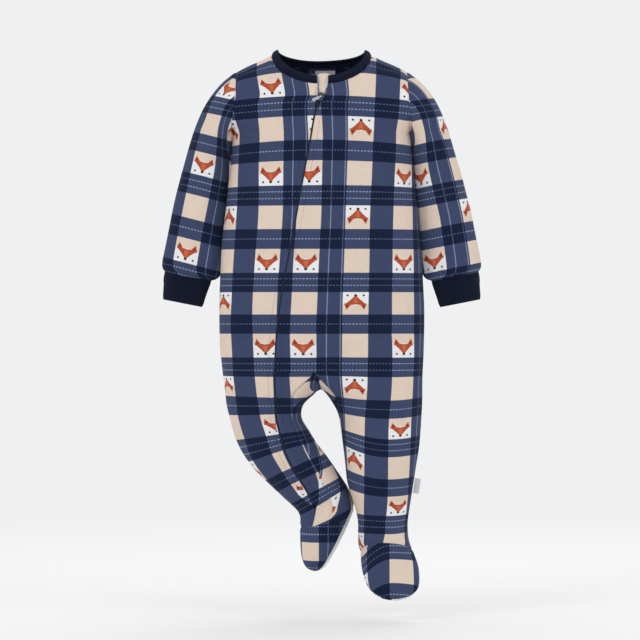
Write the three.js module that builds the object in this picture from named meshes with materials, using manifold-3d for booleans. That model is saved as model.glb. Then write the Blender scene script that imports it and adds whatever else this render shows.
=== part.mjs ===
// A footed fleece onesie pajama for a child of about two years (body height 84 to 89 cm), filled
// out as it hangs on the shoulders, with nobody in it. A plaid fleece body closes with one long
// zip from the neck to the ankle of the right leg, and has rib cuffs and a rib neckband.
// Millimetres, +Z up. The front faces -Y. Left and right are the wearer's, and left is +X.
// The origin is where the wearer's shoulders carry the garment, in the middle of the neck opening.
import * as THREE from "three";
import Module from "manifold-3d";

const wasm = await Module();
wasm.setup();

// Thickness of each cloth, and the play between sewn edges.
const FLEECE = 2.0;
const RIB = 2.6;
const SOLE_CLOTH = 2.4;
const TAPE = 1.0;
const LABEL_CLOTH = 0.8;
const SEAM_PLAY = 0.2;
const RIM_BEVEL = 0.8;

// Neck and shoulders.
const NECK = { half: 66, z: 6.6, frontDrop: 41, backDrop: 15 };
const BAND_EDGE = { half: 57.5, z: 13.9, frontDrop: 37, backDrop: 12.6, frontLean: 0.9, backLean: 0.83 };
const BAND_CROWN = 1.2;
const SHOULDER_TIP = { x: 112.5, z: -16 };
const SHOULDER_ROLL = 45;
const NECK_RISE = 0.2;
const ARMHOLE = { low: -97, front: 44, back: 46 };
const BODY_EXPONENT = 2.4;

// The crotch: the cloth starts to part at `split`, the front seam is at `seam`, and the arch between
// the legs is lowest at `arch`.
const CROTCH = { split: -370, seam: -412.5, arch: -435, archX: 0.4, depth: 56, lobe: 50, sharpness: 10 };

// Outline of the body: the side seams, or above the underarm the armholes, and the depths of the
// front and back.
const BODY = [
  { z: 12, centre: 0, half: 112.5, front: 45, back: 43 },
  { z: -16, centre: 0, half: 112.5, front: 47, back: 45 },
  { z: -55, centre: 0, half: 114.5, front: 51, back: 49 },
  { z: -97, centre: 0, half: 117.5, front: 54, back: 52 },
  { z: -132, centre: 0, half: 120.8, front: 57, back: 53 },
  { z: -178, centre: 0, half: 124.4, front: 60, back: 54 },
  { z: -235, centre: 0, half: 130.6, front: 62, back: 56 },
  { z: -284, centre: 0, half: 134, front: 62, back: 60 },
  { z: -343, centre: 0, half: 135.3, front: 59, back: 62 },
  { z: -385, centre: 0.6, half: 133.5, front: 56, back: 60 },
  { z: -412.5, centre: 1.4, half: 132, front: 54, back: 57 },
];

// Where the zip runs down the body, and the line of cloth that comes down to the crotch.
const ZIP_LINE = [
  { z: -30, x: 1.5 },
  { z: -49, x: 0.5 },
  { z: -60, x: -5 },
  { z: -80, x: -10 },
  { z: -106, x: -14.4 },
  { z: -152, x: -23.1 },
  { z: -205, x: -32.6 },
  { z: -272, x: -45.5 },
  { z: -317, x: -53.5 },
  { z: -345, x: -57.6 },
  { z: -372, x: -59.6 },
  { z: -412.5, x: -61.4 },
];
const CROTCH_LINE = [
  { z: -28, x: 37 },
  { z: -97, x: 31 },
  { z: -250, x: 11 },
  { z: -412.5, x: -9 },
];

// Half the opening between the two fronts: wide above the slider, then a slit that shows the zip.
const ZIP_OPENING = [
  { z: -20, half: 7.6 },
  { z: -42, half: 6.4 },
  { z: -50, half: 5.3 },
  { z: -60, half: 3.2 },
  { z: -71, half: 1.3 },
  { z: -600, half: 1.2 },
];

// Rings of a sleeve, from the armhole to the cuff, given by their upper and under edges in the front
// view, their half depth and how far back they sit. The cuff has the last three.
const SLEEVE = [
  { at: 0, overX: 112.5, overZ: -16, underX: 117.5, underZ: -97, depth: 45, y: 1 },
  { at: 2, overX: 134, overZ: -33, underX: 120.1, underZ: -107, depth: 44, y: 3 },
  { at: 4, overX: 152.5, overZ: -58, underX: 121.1, underZ: -119, depth: 41.5, y: 6 },
  { at: 6, overX: 165, overZ: -86, underX: 122.2, underZ: -131, depth: 38, y: 8 },
  { at: 9, overX: 179.4, overZ: -131, underX: 124.2, underZ: -157, depth: 34, y: 9 },
  { at: 13, overX: 196.4, overZ: -195.5, underX: 129.4, underZ: -216, depth: 29, y: 9 },
  { at: 17, overX: 209.3, overZ: -259, underX: 134.6, underZ: -277, depth: 24, y: 8 },
  { at: 18, overX: 210.6, overZ: -271, underX: 138.4, underZ: -288.5, depth: 21.5, y: 8 },
  { at: 19, overX: 208, overZ: -280, underX: 144.5, underZ: -293, depth: 16.5, y: 8 },
  { at: 20, overX: 208.6, overZ: -292, underX: 149, underZ: -304.5, depth: 15, y: 8 },
  { at: 21, overX: 209.2, overZ: -304, underX: 153, underZ: -315.5, depth: 14.4, y: 8 },
  { at: 22, overX: 209.7, overZ: -316, underX: 156.5, underZ: -326.5, depth: 14, y: 8 },
];
const CUFF_FROM = 19;
const SLEEVE_RINGS = 22;
const SLEEVE_EXPONENT = 2.1;

// Rings of the right leg and foot, which is bent in at the knee and shows its foot from the side.
// Each has its outer and inner edge in the front view, its half depths and its place along Y. The
// angles in degrees, from the outer edge round the front, are of the side seam, zip and inseam.
const RIGHT_LEG = [
  { outX: -127.5, outZ: -436, inX: -9, inZ: -441, front: 49, back: 53, y: 0, side: 0, zip: 96, inseam: 121 },
  { outX: -125.5, outZ: -455, inX: -24, inZ: -456, front: 46, back: 50, y: 1, side: 0, zip: 105, inseam: 136 },
  { outX: -121, outZ: -475, inX: -26, inZ: -472, front: 44, back: 47, y: 2, side: 0, zip: 106, inseam: 138 },
  { outX: -113.5, outZ: -499.5, inX: -17, inZ: -488, front: 43, back: 45, y: 3, side: -2, zip: 102, inseam: 136 },
  { outX: -102, outZ: -523, inX: -6, inZ: -505.5, front: 42, back: 44, y: 5, side: -8, zip: 95, inseam: 131 },
  { outX: -86.5, outZ: -542.5, inX: 6, inZ: -522, front: 40, back: 42, y: 7, side: -18, zip: 90, inseam: 126 },
  { outX: -68, outZ: -561, inX: 18.5, inZ: -539.5, front: 38, back: 40, y: 10, side: -31, zip: 85, inseam: 119 },
  { outX: -49, outZ: -579, inX: 30, inZ: -557, front: 36, back: 37, y: 13, side: -46, zip: 79, inseam: 112 },
  { outX: -33, outZ: -595, inX: 39.5, inZ: -574, front: 34, back: 34, y: 15, side: -60, zip: 71, inseam: 105 },
  { outX: -29, outZ: -605, inX: 43, inZ: -590, front: 33, back: 33, y: 16, side: -72, zip: 64, inseam: 100, sole: 40, mark: "heel" },
  { outX: -28.5, outZ: -617, inX: 37.5, inZ: -607, front: 33, back: 33, y: 16, side: -80, zip: 60, inseam: 98, sole: 52, mark: "instep" },
  { outX: -28.5, outZ: -632, inX: 30, inZ: -624, front: 33.5, back: 33.5, y: 16, side: -80, zip: 60, inseam: 98, sole: 58 },
  { outX: -28, outZ: -646, inX: 22, inZ: -640, front: 34, back: 34, y: 16, side: -80, zip: 60, inseam: 98, sole: 62 },
  { outX: -26.5, outZ: -657.5, inX: 14.5, inZ: -653.5, front: 32, back: 32, y: 16, side: -80, zip: 60, inseam: 98, sole: 66 },
  { outX: -23, outZ: -666.5, inX: 8.5, inZ: -663.5, front: 26, back: 26, y: 16, side: -80, zip: 60, inseam: 98, sole: 72 },
  { outX: -17.5, outZ: -672.5, inX: 3, inZ: -670.5, front: 17, back: 17, y: 16, side: -80, zip: 60, inseam: 98, sole: 80 },
];
const RIGHT_TOE = { x: -5.5, y: 16, z: -675 };

// Rings of the left leg, which hangs straight, and of its foot, which points forwards and down. The
// tilt in degrees turns a ring about X, so that its back is lower than its front.
const LEFT_LEG = [
  { outX: 133.3, outZ: -436, inX: 6, inZ: -441, front: 49, back: 53, y: 0, inseam: 148, tilt: 0 },
  { outX: 132.8, outZ: -453, inX: 15.5, inZ: -455, front: 46, back: 50, y: -1, inseam: 159, tilt: 0 },
  { outX: 131.8, outZ: -470, inX: 22.5, inZ: -471, front: 44, back: 47, y: -2, inseam: 170, tilt: 0 },
  { outX: 130.8, outZ: -490, inX: 25.7, inZ: -490, front: 43, back: 45, y: -3, inseam: 177, tilt: 0 },
  { outX: 128.8, outZ: -512, inX: 28.4, inZ: -512, front: 42, back: 43, y: -4, inseam: 180, tilt: 0 },
  { outX: 125.3, outZ: -534, inX: 31.2, inZ: -534, front: 40, back: 41, y: -4, inseam: 180, tilt: 0 },
  { outX: 122.2, outZ: -556, inX: 34.2, inZ: -556, front: 38, back: 39, y: -4, inseam: 180, tilt: 0 },
  { outX: 119, outZ: -577, inX: 40, inZ: -577, front: 36, back: 37, y: -3, inseam: 180, tilt: 0 },
  { outX: 115.8, outZ: -596, inX: 46, inZ: -596, front: 35, back: 35, y: -2, inseam: 180, tilt: 2 },
  { outX: 114, outZ: -611, inX: 49, inZ: -611, front: 36.5, back: 37, y: -1, inseam: 180, tilt: 6 },
  { outX: 114.4, outZ: -625, inX: 49, inZ: -625, front: 39, back: 39.5, y: -1, inseam: 180, tilt: 11 },
  { outX: 116.4, outZ: -637, inX: 49.4, inZ: -637, front: 41, back: 41, y: -2, inseam: 180, tilt: 16, sole: 38, mark: "heel" },
  { outX: 120, outZ: -647.5, inX: 51.8, inZ: -647.5, front: 39, back: 39.5, y: -8, inseam: 180, tilt: 20, sole: 52, mark: "instep" },
  { outX: 123.6, outZ: -657.5, inX: 52.4, inZ: -657.5, front: 35, back: 34.5, y: -18, inseam: 180, tilt: 24, sole: 58 },
  { outX: 126.8, outZ: -667.5, inX: 53, inZ: -667.5, front: 30, back: 29, y: -29.5, inseam: 180, tilt: 29, sole: 62 },
  { outX: 128.3, outZ: -677.5, inX: 55, inZ: -677.5, front: 24.5, back: 23.5, y: -41.5, inseam: 180, tilt: 34, sole: 64 },
  { outX: 127.6, outZ: -687.5, inX: 59, inZ: -687.5, front: 19, back: 18.5, y: -52.5, inseam: 180, tilt: 38, sole: 68 },
  { outX: 123.2, outZ: -696.5, inX: 65.5, inZ: -696.5, front: 13.5, back: 12.5, y: -61.5, inseam: 180, tilt: 40, sole: 74 },
  { outX: 113, outZ: -703, inX: 76, inZ: -703, front: 7.5, back: 6.5, y: -67.5, inseam: 180, tilt: 42, sole: 82 },
];
const LEFT_TOE = { x: 94, y: -69.5, z: -706.5 };
const LEG_EXPONENT = 2.2;

// How many faces each stretch of cloth has.
const SHOULDER_FACES = 3;
const ZIP_COLUMN = 7;
const CROTCH_COLUMN = 10;
const FRONT_COLUMNS = 18;
const BACK_COLUMNS = 16;
const CROTCH_WRAP = 4;
const YOKE_ROWS = 9;
const BODY_ROWS = 18;
const SOLE_FROM = 3;
const SOLE_TO = 9;
const ANKLE_RING = 9;

// The largest soft folds, each a line in the front view that dents one side of the cloth.
const FOLDS = [
  { side: "front", x0: -205, z0: -60, x1: -122, z1: -84, width: 13, depth: 4 },
  { side: "front", x0: 190, z0: -88, x1: 122, z1: -96, width: 12, depth: 3.5 },
  { side: "front", x0: -34, z0: -517, x1: 10, z1: -529, width: 12, depth: 4.5 },
  { side: "front", x0: -14, z0: -488, x1: -58, z1: -506, width: 13, depth: 3 },
  { side: "back", x0: -110, z0: -500, x1: -30, z1: -482, width: 15, depth: 4 },
  { side: "back", x0: 50, z0: -596, x1: 114, z1: -590, width: 13, depth: 4 },
  { side: "back", x0: 34, z0: -420, x1: 118, z1: -398, width: 16, depth: 4 },
  { side: "back", x0: -32, z0: -420, x1: -116, z1: -400, width: 16, depth: 4 },
  { side: "back", x0: 196, z0: -122, x1: 124, z1: -108, width: 13, depth: 4 },
  { side: "back", x0: -196, z0: -118, x1: -124, z1: -106, width: 13, depth: 4 },
];

// The zip's tape and guard, and the labels. The guard's rows run down from its top edge.
const TAPE_HALF = 8;
const GUARD_CLOTH = 1.6;
const GUARD = [
  { z: -20.5, right: -6.4, left: 12.6, y: -40.4 },
  { z: -34, right: -4.8, left: 8, y: -44.6 },
  { z: -46.6, right: -3.1, left: 3.3, y: -47.6 },
];
const NECK_LABEL = { fromRow: 0.25, toRow: 2.6, fromColumn: 7.6, toColumn: 8.9 };
const SIZE_TAG = { fromRow: 0.7, toRow: 2.1, fromColumn: 6.9, toColumn: 7.52 };
const SIDE_LABEL = { width: 8, length: 20, x: 125.8, y: -4, z: -562, lean: 8 };

// The slider's body and the pin that its pull tab turns on.
const SLIDER = { topWidth: 8.4, lowWidth: 5.2, length: 11, inner: -1.9, outer: 1.6 };
const BAIL = { turn: -42, pin: 0.5, lug: 0.9, lugReach: 0.9, play: 0.3 };
const PULL = { eye: 1.4, eyeWidth: 2.2, width: 4, length: 12, thickness: 0.9, neck: 2.6, droop: 9 };

const toRadians = THREE.MathUtils.degToRad;
const lerp = THREE.MathUtils.lerp;
const clamp = THREE.MathUtils.clamp;

// One column of a table at a value between its rows, on a smooth curve through the rows.
function follow(table, by, column, at) {
  const forward = table[table.length - 1][by] > table[0][by] ? 1 : -1;
  const last = table.length - 1;
  if ((at - table[0][by]) * forward <= 0) return table[0][column];
  if ((at - table[last][by]) * forward >= 0) return table[last][column];
  let i = 0;
  while ((at - table[i + 1][by]) * forward > 0) i += 1;
  const slope = (k) => {
    const low = Math.max(k - 1, 0);
    const high = Math.min(k + 1, last);
    return (table[high][column] - table[low][column]) / (table[high][by] - table[low][by]);
  };
  const span = table[i + 1][by] - table[i][by];
  const t = (at - table[i][by]) / span;
  const rise = table[i + 1][column] - table[i][column];
  const bend0 = slope(i) * span - rise;
  const bend1 = rise - slope(i + 1) * span;
  return lerp(table[i][column], table[i + 1][column], t) + t * (1 - t) * (bend0 * (1 - t) + bend1 * t);
}

// Height of the shoulder line over the front view, carried on over the neck.
function shoulderHeight(x) {
  const slope = (NECK.z - SHOULDER_TIP.z) / (SHOULDER_TIP.x - NECK.half);
  const beyond = Math.abs(x) - NECK.half;
  return NECK.z - beyond * (beyond > 0 ? slope : NECK_RISE);
}

// How full the cloth is just under the shoulder seam, from 0 on the seam to 1 below the roll.
function shoulderRoll(x, z) {
  const below = clamp((shoulderHeight(x) - z) / SHOULDER_ROLL, 0, 1);
  return Math.sqrt(1 - (1 - below) ** 2);
}

// How far the armhole's edge stands from the middle plane at a height.
function armholeDepth(side, z) {
  const middle = (SHOULDER_TIP.z + ARMHOLE.low) / 2;
  const half = (SHOULDER_TIP.z - ARMHOLE.low) / 2;
  return ARMHOLE[side] * Math.sqrt(Math.max(0, 1 - ((z - middle) / half) ** 2));
}

// Depth of two leg tops side by side.
function lobeDepth(x, z) {
  const left = follow(BODY, "z", "centre", z) - follow(BODY, "z", "half", z);
  const right = follow(BODY, "z", "centre", z) + follow(BODY, "z", "half", z);
  const parting = follow(CROTCH_LINE, "z", "x", z);
  const [from, to] = x < parting ? [left, parting] : [parting, right];
  const across = clamp(Math.abs(x - (from + to) / 2) / ((to - from) / 2), 0, 1);
  return CROTCH.lobe * (1 - across ** LEG_EXPONENT) ** (1 / LEG_EXPONENT);
}

// Depth of the body in front of or behind the middle plane, over a point of the front view.
function bodyDepth(side, x, z) {
  const half = follow(BODY, "z", "half", z);
  const across = clamp(Math.abs(x - follow(BODY, "z", "centre", z)) / half, 0, 1);
  const full = follow(BODY, "z", side, z) * shoulderRoll(x, z);
  const edge = follow(BODY, "z", side, z) * shoulderRoll(half, z);
  const open = z > ARMHOLE.low && edge > 0 ? Math.min(1, armholeDepth(side, z) / edge) : 0;
  const kept = 1 - across ** BODY_EXPONENT * (1 - open ** BODY_EXPONENT);
  const wide = full * Math.max(0, kept) ** (1 / BODY_EXPONENT);
  if (z > CROTCH.split) return wide;
  const fall = (CROTCH.split - z) / (CROTCH.split - CROTCH.arch);
  const valley = wide * Math.sqrt(Math.max(0, 1 - fall ** 2));
  const power = CROTCH.sharpness;
  return (valley ** power + lobeDepth(x, z) ** power) ** (1 / power);
}

// The cloth as one net of shared points, whose faces are shared out among the pieces.
const points = [];
const faces = [];
const named = new Map();
function pointAt(key, make) {
  if (!named.has(key)) {
    named.set(key, points.length);
    points.push(make());
  }
  return named.get(key);
}
function addFace(piece, corners, flip) {
  const distinct = corners.filter((c, i) => c !== corners[(i + 1) % corners.length]);
  faces.push({ piece, corners: flip ? distinct.reverse() : distinct });
}
function addStrip(piece, upper, lower, flip) {
  for (let j = 0; j + 1 < upper.length; j += 1)
    addFace(piece, [upper[j], lower[j], lower[j + 1], upper[j + 1]], flip);
}

// Angle across the body of a point, from the left edge of the front view.
function angleOf(x, z) {
  return Math.acos(clamp((follow(BODY, "z", "centre", z) - x) / follow(BODY, "z", "half", z), -1, 1));
}

// Keys are the columns of the net that follow a line down the body.
const frontKeys = [
  { column: 0, angle: () => 0 },
  { column: ZIP_COLUMN, angle: (z) => angleOf(follow(ZIP_LINE, "z", "x", z), z) },
  { column: CROTCH_COLUMN, angle: (z) => angleOf(follow(CROTCH_LINE, "z", "x", z), z) },
  { column: FRONT_COLUMNS, angle: () => Math.PI },
];
const backKeys = [
  { column: 0, angle: () => 0 },
  { column: BACK_COLUMNS / 2, angle: (z) => angleOf(-4 * clamp(z / CROTCH.seam, 0, 1), z) },
  { column: BACK_COLUMNS, angle: () => Math.PI },
];

// Angle round the neck, from the right shoulder, of a column that ends on the neckline.
function neckAngle(side, j) {
  const columns = side === "front" ? FRONT_COLUMNS : BACK_COLUMNS;
  const middle = side === "front" ? ZIP_COLUMN : BACK_COLUMNS / 2;
  const turn = side === "front" ? Math.acos(-ZIP_LINE[0].x / NECK.half) : Math.PI / 2;
  if (j <= middle) return (turn * (j - SHOULDER_FACES)) / (middle - SHOULDER_FACES);
  return turn + ((Math.PI - turn) * (j - middle)) / (columns - SHOULDER_FACES - middle);
}

// Where a column of the front or back starts, on the shoulder seam or on the neckline.
function topOf(side, j) {
  const columns = side === "front" ? FRONT_COLUMNS : BACK_COLUMNS;
  const fromEdge = Math.min(j, columns - j);
  if (fromEdge < SHOULDER_FACES) {
    const x = lerp(SHOULDER_TIP.x, NECK.half, fromEdge / SHOULDER_FACES) * (j < columns / 2 ? -1 : 1);
    return { x, z: shoulderHeight(x) };
  }
  const round = neckAngle(side, j);
  const drop = side === "front" ? NECK.frontDrop : NECK.backDrop;
  return { x: -NECK.half * Math.cos(round), z: NECK.z - drop * Math.sin(round) };
}

// A point of the front or back, by its row and column.
function bodyPoint(side, row, j) {
  const keys = side === "front" ? frontKeys : backKeys;
  const k = keys.findIndex((key, i) => i + 1 === keys.length - 1 || j <= keys[i + 1].column);
  const even = (j - keys[k].column) / (keys[k + 1].column - keys[k].column);
  let z = lerp(ARMHOLE.low, CROTCH.seam, (row - YOKE_ROWS) / BODY_ROWS);
  let share = even;
  if (row < YOKE_ROWS) {
    const top = topOf(side, j);
    const fromEdge = Math.min(j, (side === "front" ? FRONT_COLUMNS : BACK_COLUMNS) - j);
    const rounded = (1 - Math.cos((Math.PI * row) / YOKE_ROWS)) / 2;
    const down = lerp(rounded, row / YOKE_ROWS, Math.min(1, fromEdge / SHOULDER_FACES));
    z = lerp(top.z, ARMHOLE.low, down);
    const from = keys[k].angle(top.z);
    const to = keys[k + 1].angle(top.z);
    share = lerp(clamp((angleOf(top.x, top.z) - from) / (to - from), 0, 1), even, down);
  }
  const angle = lerp(keys[k].angle(z), keys[k + 1].angle(z), share);
  const x = follow(BODY, "z", "centre", z) - follow(BODY, "z", "half", z) * Math.cos(angle);
  const depth = bodyDepth(side, x, z);
  return new THREE.Vector3(x, side === "front" ? -depth : depth, z);
}

// The key of a point of the body: shoulder and side seams are shared by front and back.
function bodyKey(side, row, j) {
  const columns = side === "front" ? FRONT_COLUMNS : BACK_COLUMNS;
  const onLeft = j > columns / 2;
  const fromEdge = Math.min(j, columns - j);
  if (row === 0 && fromEdge <= SHOULDER_FACES) return ["shoulder", onLeft, fromEdge].join();
  if (row >= YOKE_ROWS && fromEdge === 0) return ["side", onLeft, row].join();
  return [side, row, j].join();
}
const bodyIndex = (side, row, j) => pointAt(bodyKey(side, row, j), () => bodyPoint(side, row, j));
const LAST_ROW = YOKE_ROWS + BODY_ROWS;
for (const side of ["front", "back"]) {
  const columns = side === "front" ? FRONT_COLUMNS : BACK_COLUMNS;
  for (let row = 0; row < LAST_ROW; row += 1)
    for (let j = 0; j < columns; j += 1) {
      const front = j < ZIP_COLUMN ? "front_right" : "front_left";
      const corners = [[row, j], [row + 1, j], [row + 1, j + 1], [row, j + 1]];
      const piece = side === "front" ? front : "back";
      addFace(piece, corners.map(([r, c]) => bodyIndex(side, r, c)), side === "back");
    }
}

// A closed ring of cloth: unit round shape scaled between its edges and depths.
function ringPoint(ring, degrees, exponent) {
  const turn = toRadians(degrees);
  const bend = (value) => Math.sign(value) * Math.abs(value) ** (2 / exponent);
  const centre = new THREE.Vector3((ring.outX + ring.inX) / 2, ring.y, (ring.outZ + ring.inZ) / 2);
  const across = new THREE.Vector3((ring.inX - ring.outX) / 2, 0, (ring.inZ - ring.outZ) / 2);
  const tilt = toRadians(ring.tilt ?? 0);
  const backwards = new THREE.Vector3(0, Math.cos(tilt), -Math.sin(tilt));
  const depth = Math.sin(turn) > 0 ? ring.front : ring.back;
  return centre
    .addScaledVector(across, -bend(Math.cos(turn)))
    .addScaledVector(backwards, -depth * bend(Math.sin(turn)));
}

// A sleeve and its cuff, mirrored for the other arm. Its first ring is the armhole.
const ARM_POINTS = 2 * YOKE_ROWS;
function sleeveIndex(onLeft, ring, m) {
  const column = (m + ARM_POINTS) % ARM_POINTS;
  if (ring === 0) {
    const side = column <= YOKE_ROWS ? "front" : "back";
    const columns = side === "front" ? FRONT_COLUMNS : BACK_COLUMNS;
    return bodyIndex(side, column <= YOKE_ROWS ? column : ARM_POINTS - column, onLeft ? columns : 0);
  }
  return pointAt(["sleeve", onLeft, ring, column].join(), () => {
    const value = (name) => follow(SLEEVE, "at", name, ring);
    const hand = onLeft ? 1 : -1;
    const depth = value("depth");
    const shape = {
      outX: hand * value("overX"),
      outZ: value("overZ"),
      inX: hand * value("underX"),
      inZ: value("underZ"),
      front: depth,
      back: depth,
      y: value("y"),
    };
    return ringPoint(shape, (360 * column) / ARM_POINTS, SLEEVE_EXPONENT);
  });
}
for (const onLeft of [false, true])
  for (let ring = 0; ring < SLEEVE_RINGS; ring += 1) {
    const upper = [];
    const lower = [];
    for (let m = 0; m <= ARM_POINTS; m += 1) {
      upper.push(sleeveIndex(onLeft, ring, m));
      lower.push(sleeveIndex(onLeft, ring + 1, m));
    }
    const piece = (ring < CUFF_FROM ? "sleeve_" : "cuff_") + (onLeft ? "left" : "right");
    addStrip(piece, upper, lower, onLeft);
  }

// The neckband stands on the neckline and leans in to its own edge.
const BAND_ROWS = 2;
function bandIndex(side, j, row) {
  if (row === 0) return bodyIndex(side, 0, j);
  const columns = side === "front" ? FRONT_COLUMNS : BACK_COLUMNS;
  const atPoint = j === SHOULDER_FACES || j === columns - SHOULDER_FACES;
  const key = atPoint ? ["band", j > columns / 2, row] : ["band", side, j, row];
  return pointAt(key.join(), () => {
    const round = neckAngle(side, j);
    const foot = bodyPoint(side, 0, j);
    const drop = side === "front" ? BAND_EDGE.frontDrop : BAND_EDGE.backDrop;
    const lean = side === "front" ? BAND_EDGE.frontLean : BAND_EDGE.backLean;
    const top = new THREE.Vector3(
      -BAND_EDGE.half * Math.cos(round),
      lean * foot.y,
      BAND_EDGE.z - drop * Math.sin(round),
    );
    const t = row / BAND_ROWS;
    const crown = BAND_CROWN * Math.sin(Math.PI * t);
    const outwards = new THREE.Vector3(foot.x, foot.y, 0).normalize();
    return foot.lerp(top, t).addScaledVector(outwards, crown);
  });
}
for (const side of ["front", "back"]) {
  const columns = side === "front" ? FRONT_COLUMNS : BACK_COLUMNS;
  for (let j = SHOULDER_FACES; j < columns - SHOULDER_FACES; j += 1)
    for (let row = 0; row < BAND_ROWS; row += 1) {
      const piece = side === "front" && j < ZIP_COLUMN ? "neckband_right" : "neckband";
      const corners = [[j, row + 1], [j, row], [j + 1, row], [j + 1, row + 1]];
      addFace(piece, corners.map(([c, r]) => bandIndex(side, c, r)), side === "back");
    }
}

// The cloth under the crotch: a small arch from the front seam to the back.
function saddleIndex(w) {
  if (w === 0) return bodyIndex("front", LAST_ROW, CROTCH_COLUMN);
  if (w === CROTCH_WRAP) return bodyIndex("back", LAST_ROW, BACK_COLUMNS / 2);
  return pointAt(["saddle", w].join(), () => {
    const front = points[saddleIndex(0)];
    const back = points[saddleIndex(CROTCH_WRAP)];
    const t = w / CROTCH_WRAP;
    const y = lerp(front.y, back.y, t);
    const drop = (CROTCH.split - CROTCH.arch) * Math.sqrt(1 - (y / CROTCH.depth) ** 2);
    const side = t < 0.5 ? front.x : back.x;
    const x = lerp(side, CROTCH.archX, 1 - Math.abs(2 * t - 1));
    return new THREE.Vector3(x, y, CROTCH.split - drop);
  });
}

// A leg: its front columns run from the side seam to the inseam, its back columns go on round the
// inside of the leg and the back to the side seam again. Two of them follow the sole's edges.
const LEGS = {
  right: { rings: RIGHT_LEG, toe: RIGHT_TOE, fronts: CROTCH_COLUMN, soleAt: 180 },
  left: { rings: LEFT_LEG, toe: LEFT_TOE, fronts: FRONT_COLUMNS - CROTCH_COLUMN, soleAt: 270 },
};
const LEG_BACKS = CROTCH_WRAP + BACK_COLUMNS / 2;
function legAngle(leg, ring, part, column) {
  const side = ring.side ?? 0;
  if (part === "front") {
    if (leg.fronts === CROTCH_COLUMN && column <= ZIP_COLUMN) return lerp(side, ring.zip, column / ZIP_COLUMN);
    if (leg.fronts !== CROTCH_COLUMN) return lerp(side, ring.inseam, column / leg.fronts);
    return lerp(ring.zip, ring.inseam, (column - ZIP_COLUMN) / (CROTCH_COLUMN - ZIP_COLUMN));
  }
  const to = side + 360;
  if (!ring.sole) return lerp(ring.inseam, to, column / LEG_BACKS);
  const soleStart = leg.soleAt - ring.sole;
  const soleEnd = leg.soleAt + ring.sole;
  if (column <= SOLE_FROM) return lerp(ring.inseam, soleStart, column / SOLE_FROM);
  if (column <= SOLE_TO) return lerp(soleStart, soleEnd, (column - SOLE_FROM) / (SOLE_TO - SOLE_FROM));
  return lerp(soleEnd, to, (column - SOLE_TO) / (LEG_BACKS - SOLE_TO));
}
function legIndex(name, ring, part, column) {
  const leg = LEGS[name];
  const inseam = part === "front" && column === leg.fronts;
  if (inseam) return legIndex(name, ring, "back", 0);
  if (part === "back" && column === LEG_BACKS) return legIndex(name, ring, "front", 0);
  if (ring === 0) {
    if (part === "front") return bodyIndex("front", LAST_ROW, name === "right" ? column : FRONT_COLUMNS - column);
    if (column <= CROTCH_WRAP) return saddleIndex(column);
    const beyond = column - CROTCH_WRAP;
    return bodyIndex("back", LAST_ROW, BACK_COLUMNS / 2 + (name === "right" ? -beyond : beyond));
  }
  if (ring > leg.rings.length)
    return pointAt(["toe", name].join(), () => new THREE.Vector3(leg.toe.x, leg.toe.y, leg.toe.z));
  const shape = leg.rings[ring - 1];
  return pointAt([name, ring, part, column].join(), () =>
    ringPoint(shape, legAngle(leg, shape, part, column), LEG_EXPONENT),
  );
}
for (const name of ["right", "left"]) {
  const leg = LEGS[name];
  const heel = 1 + leg.rings.findIndex((ring) => ring.mark === "heel");
  const instep = 1 + leg.rings.findIndex((ring) => ring.mark === "instep");
  const add = (piece, ring, part, column) => {
    const corners = [[ring, column], [ring + 1, column], [ring + 1, column + 1], [ring, column + 1]];
    addFace(piece, corners.map(([r, c]) => legIndex(name, r, part, c)), name === "left");
  };
  for (let ring = 0; ring <= leg.rings.length; ring += 1) {
    for (let c = 0; c < leg.fronts; c += 1) {
      const front = name === "right" && c < ZIP_COLUMN ? "front_right" : "front_left";
      add(ring < instep ? front : "foot_top_" + name, ring, "front", c);
    }
    for (let c = 0; c < LEG_BACKS; c += 1) {
      const underfoot = ring >= heel && c >= SOLE_FROM && c < SOLE_TO;
      const upper = ring < instep ? "back" : "foot_top_" + name;
      add(underfoot ? "sole_" + name : upper, ring, "back", c);
    }
  }
}

// Outward direction of the net at each point, from its faces weighted by their angles there.
function netNormals() {
  const sums = points.map(() => new THREE.Vector3());
  for (const { corners } of faces)
    corners.forEach((i, n) => {
      const to = points[corners[(n + 1) % corners.length]].clone().sub(points[i]);
      const from = points[corners[(n + corners.length - 1) % corners.length]].clone().sub(points[i]);
      sums[i].addScaledVector(to.clone().cross(from).normalize(), to.angleTo(from));
    });
  return sums.map((sum) => sum.normalize());
}

// Dents the net along each fold, deepest in the middle of its length.
const flatNormals = netNormals();
for (const fold of FOLDS) {
  const start = new THREE.Vector2(fold.x0, fold.z0);
  const along = new THREE.Vector2(fold.x1, fold.z1).sub(start);
  points.forEach((point, i) => {
    if ((fold.side === "front") !== flatNormals[i].y < 0) return;
    const here = new THREE.Vector2(point.x, point.z).sub(start);
    const t = clamp(here.dot(along) / along.lengthSq(), 0, 1);
    const away = here.addScaledVector(along, -t).length() / fold.width;
    const facing = Math.abs(flatNormals[i].y);
    const depth = fold.depth * Math.exp(-away * away) * (0.4 + 0.6 * Math.sin(Math.PI * t)) * facing;
    point.addScaledVector(flatNormals[i], -depth);
  });
}
const normals = netNormals();

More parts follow.
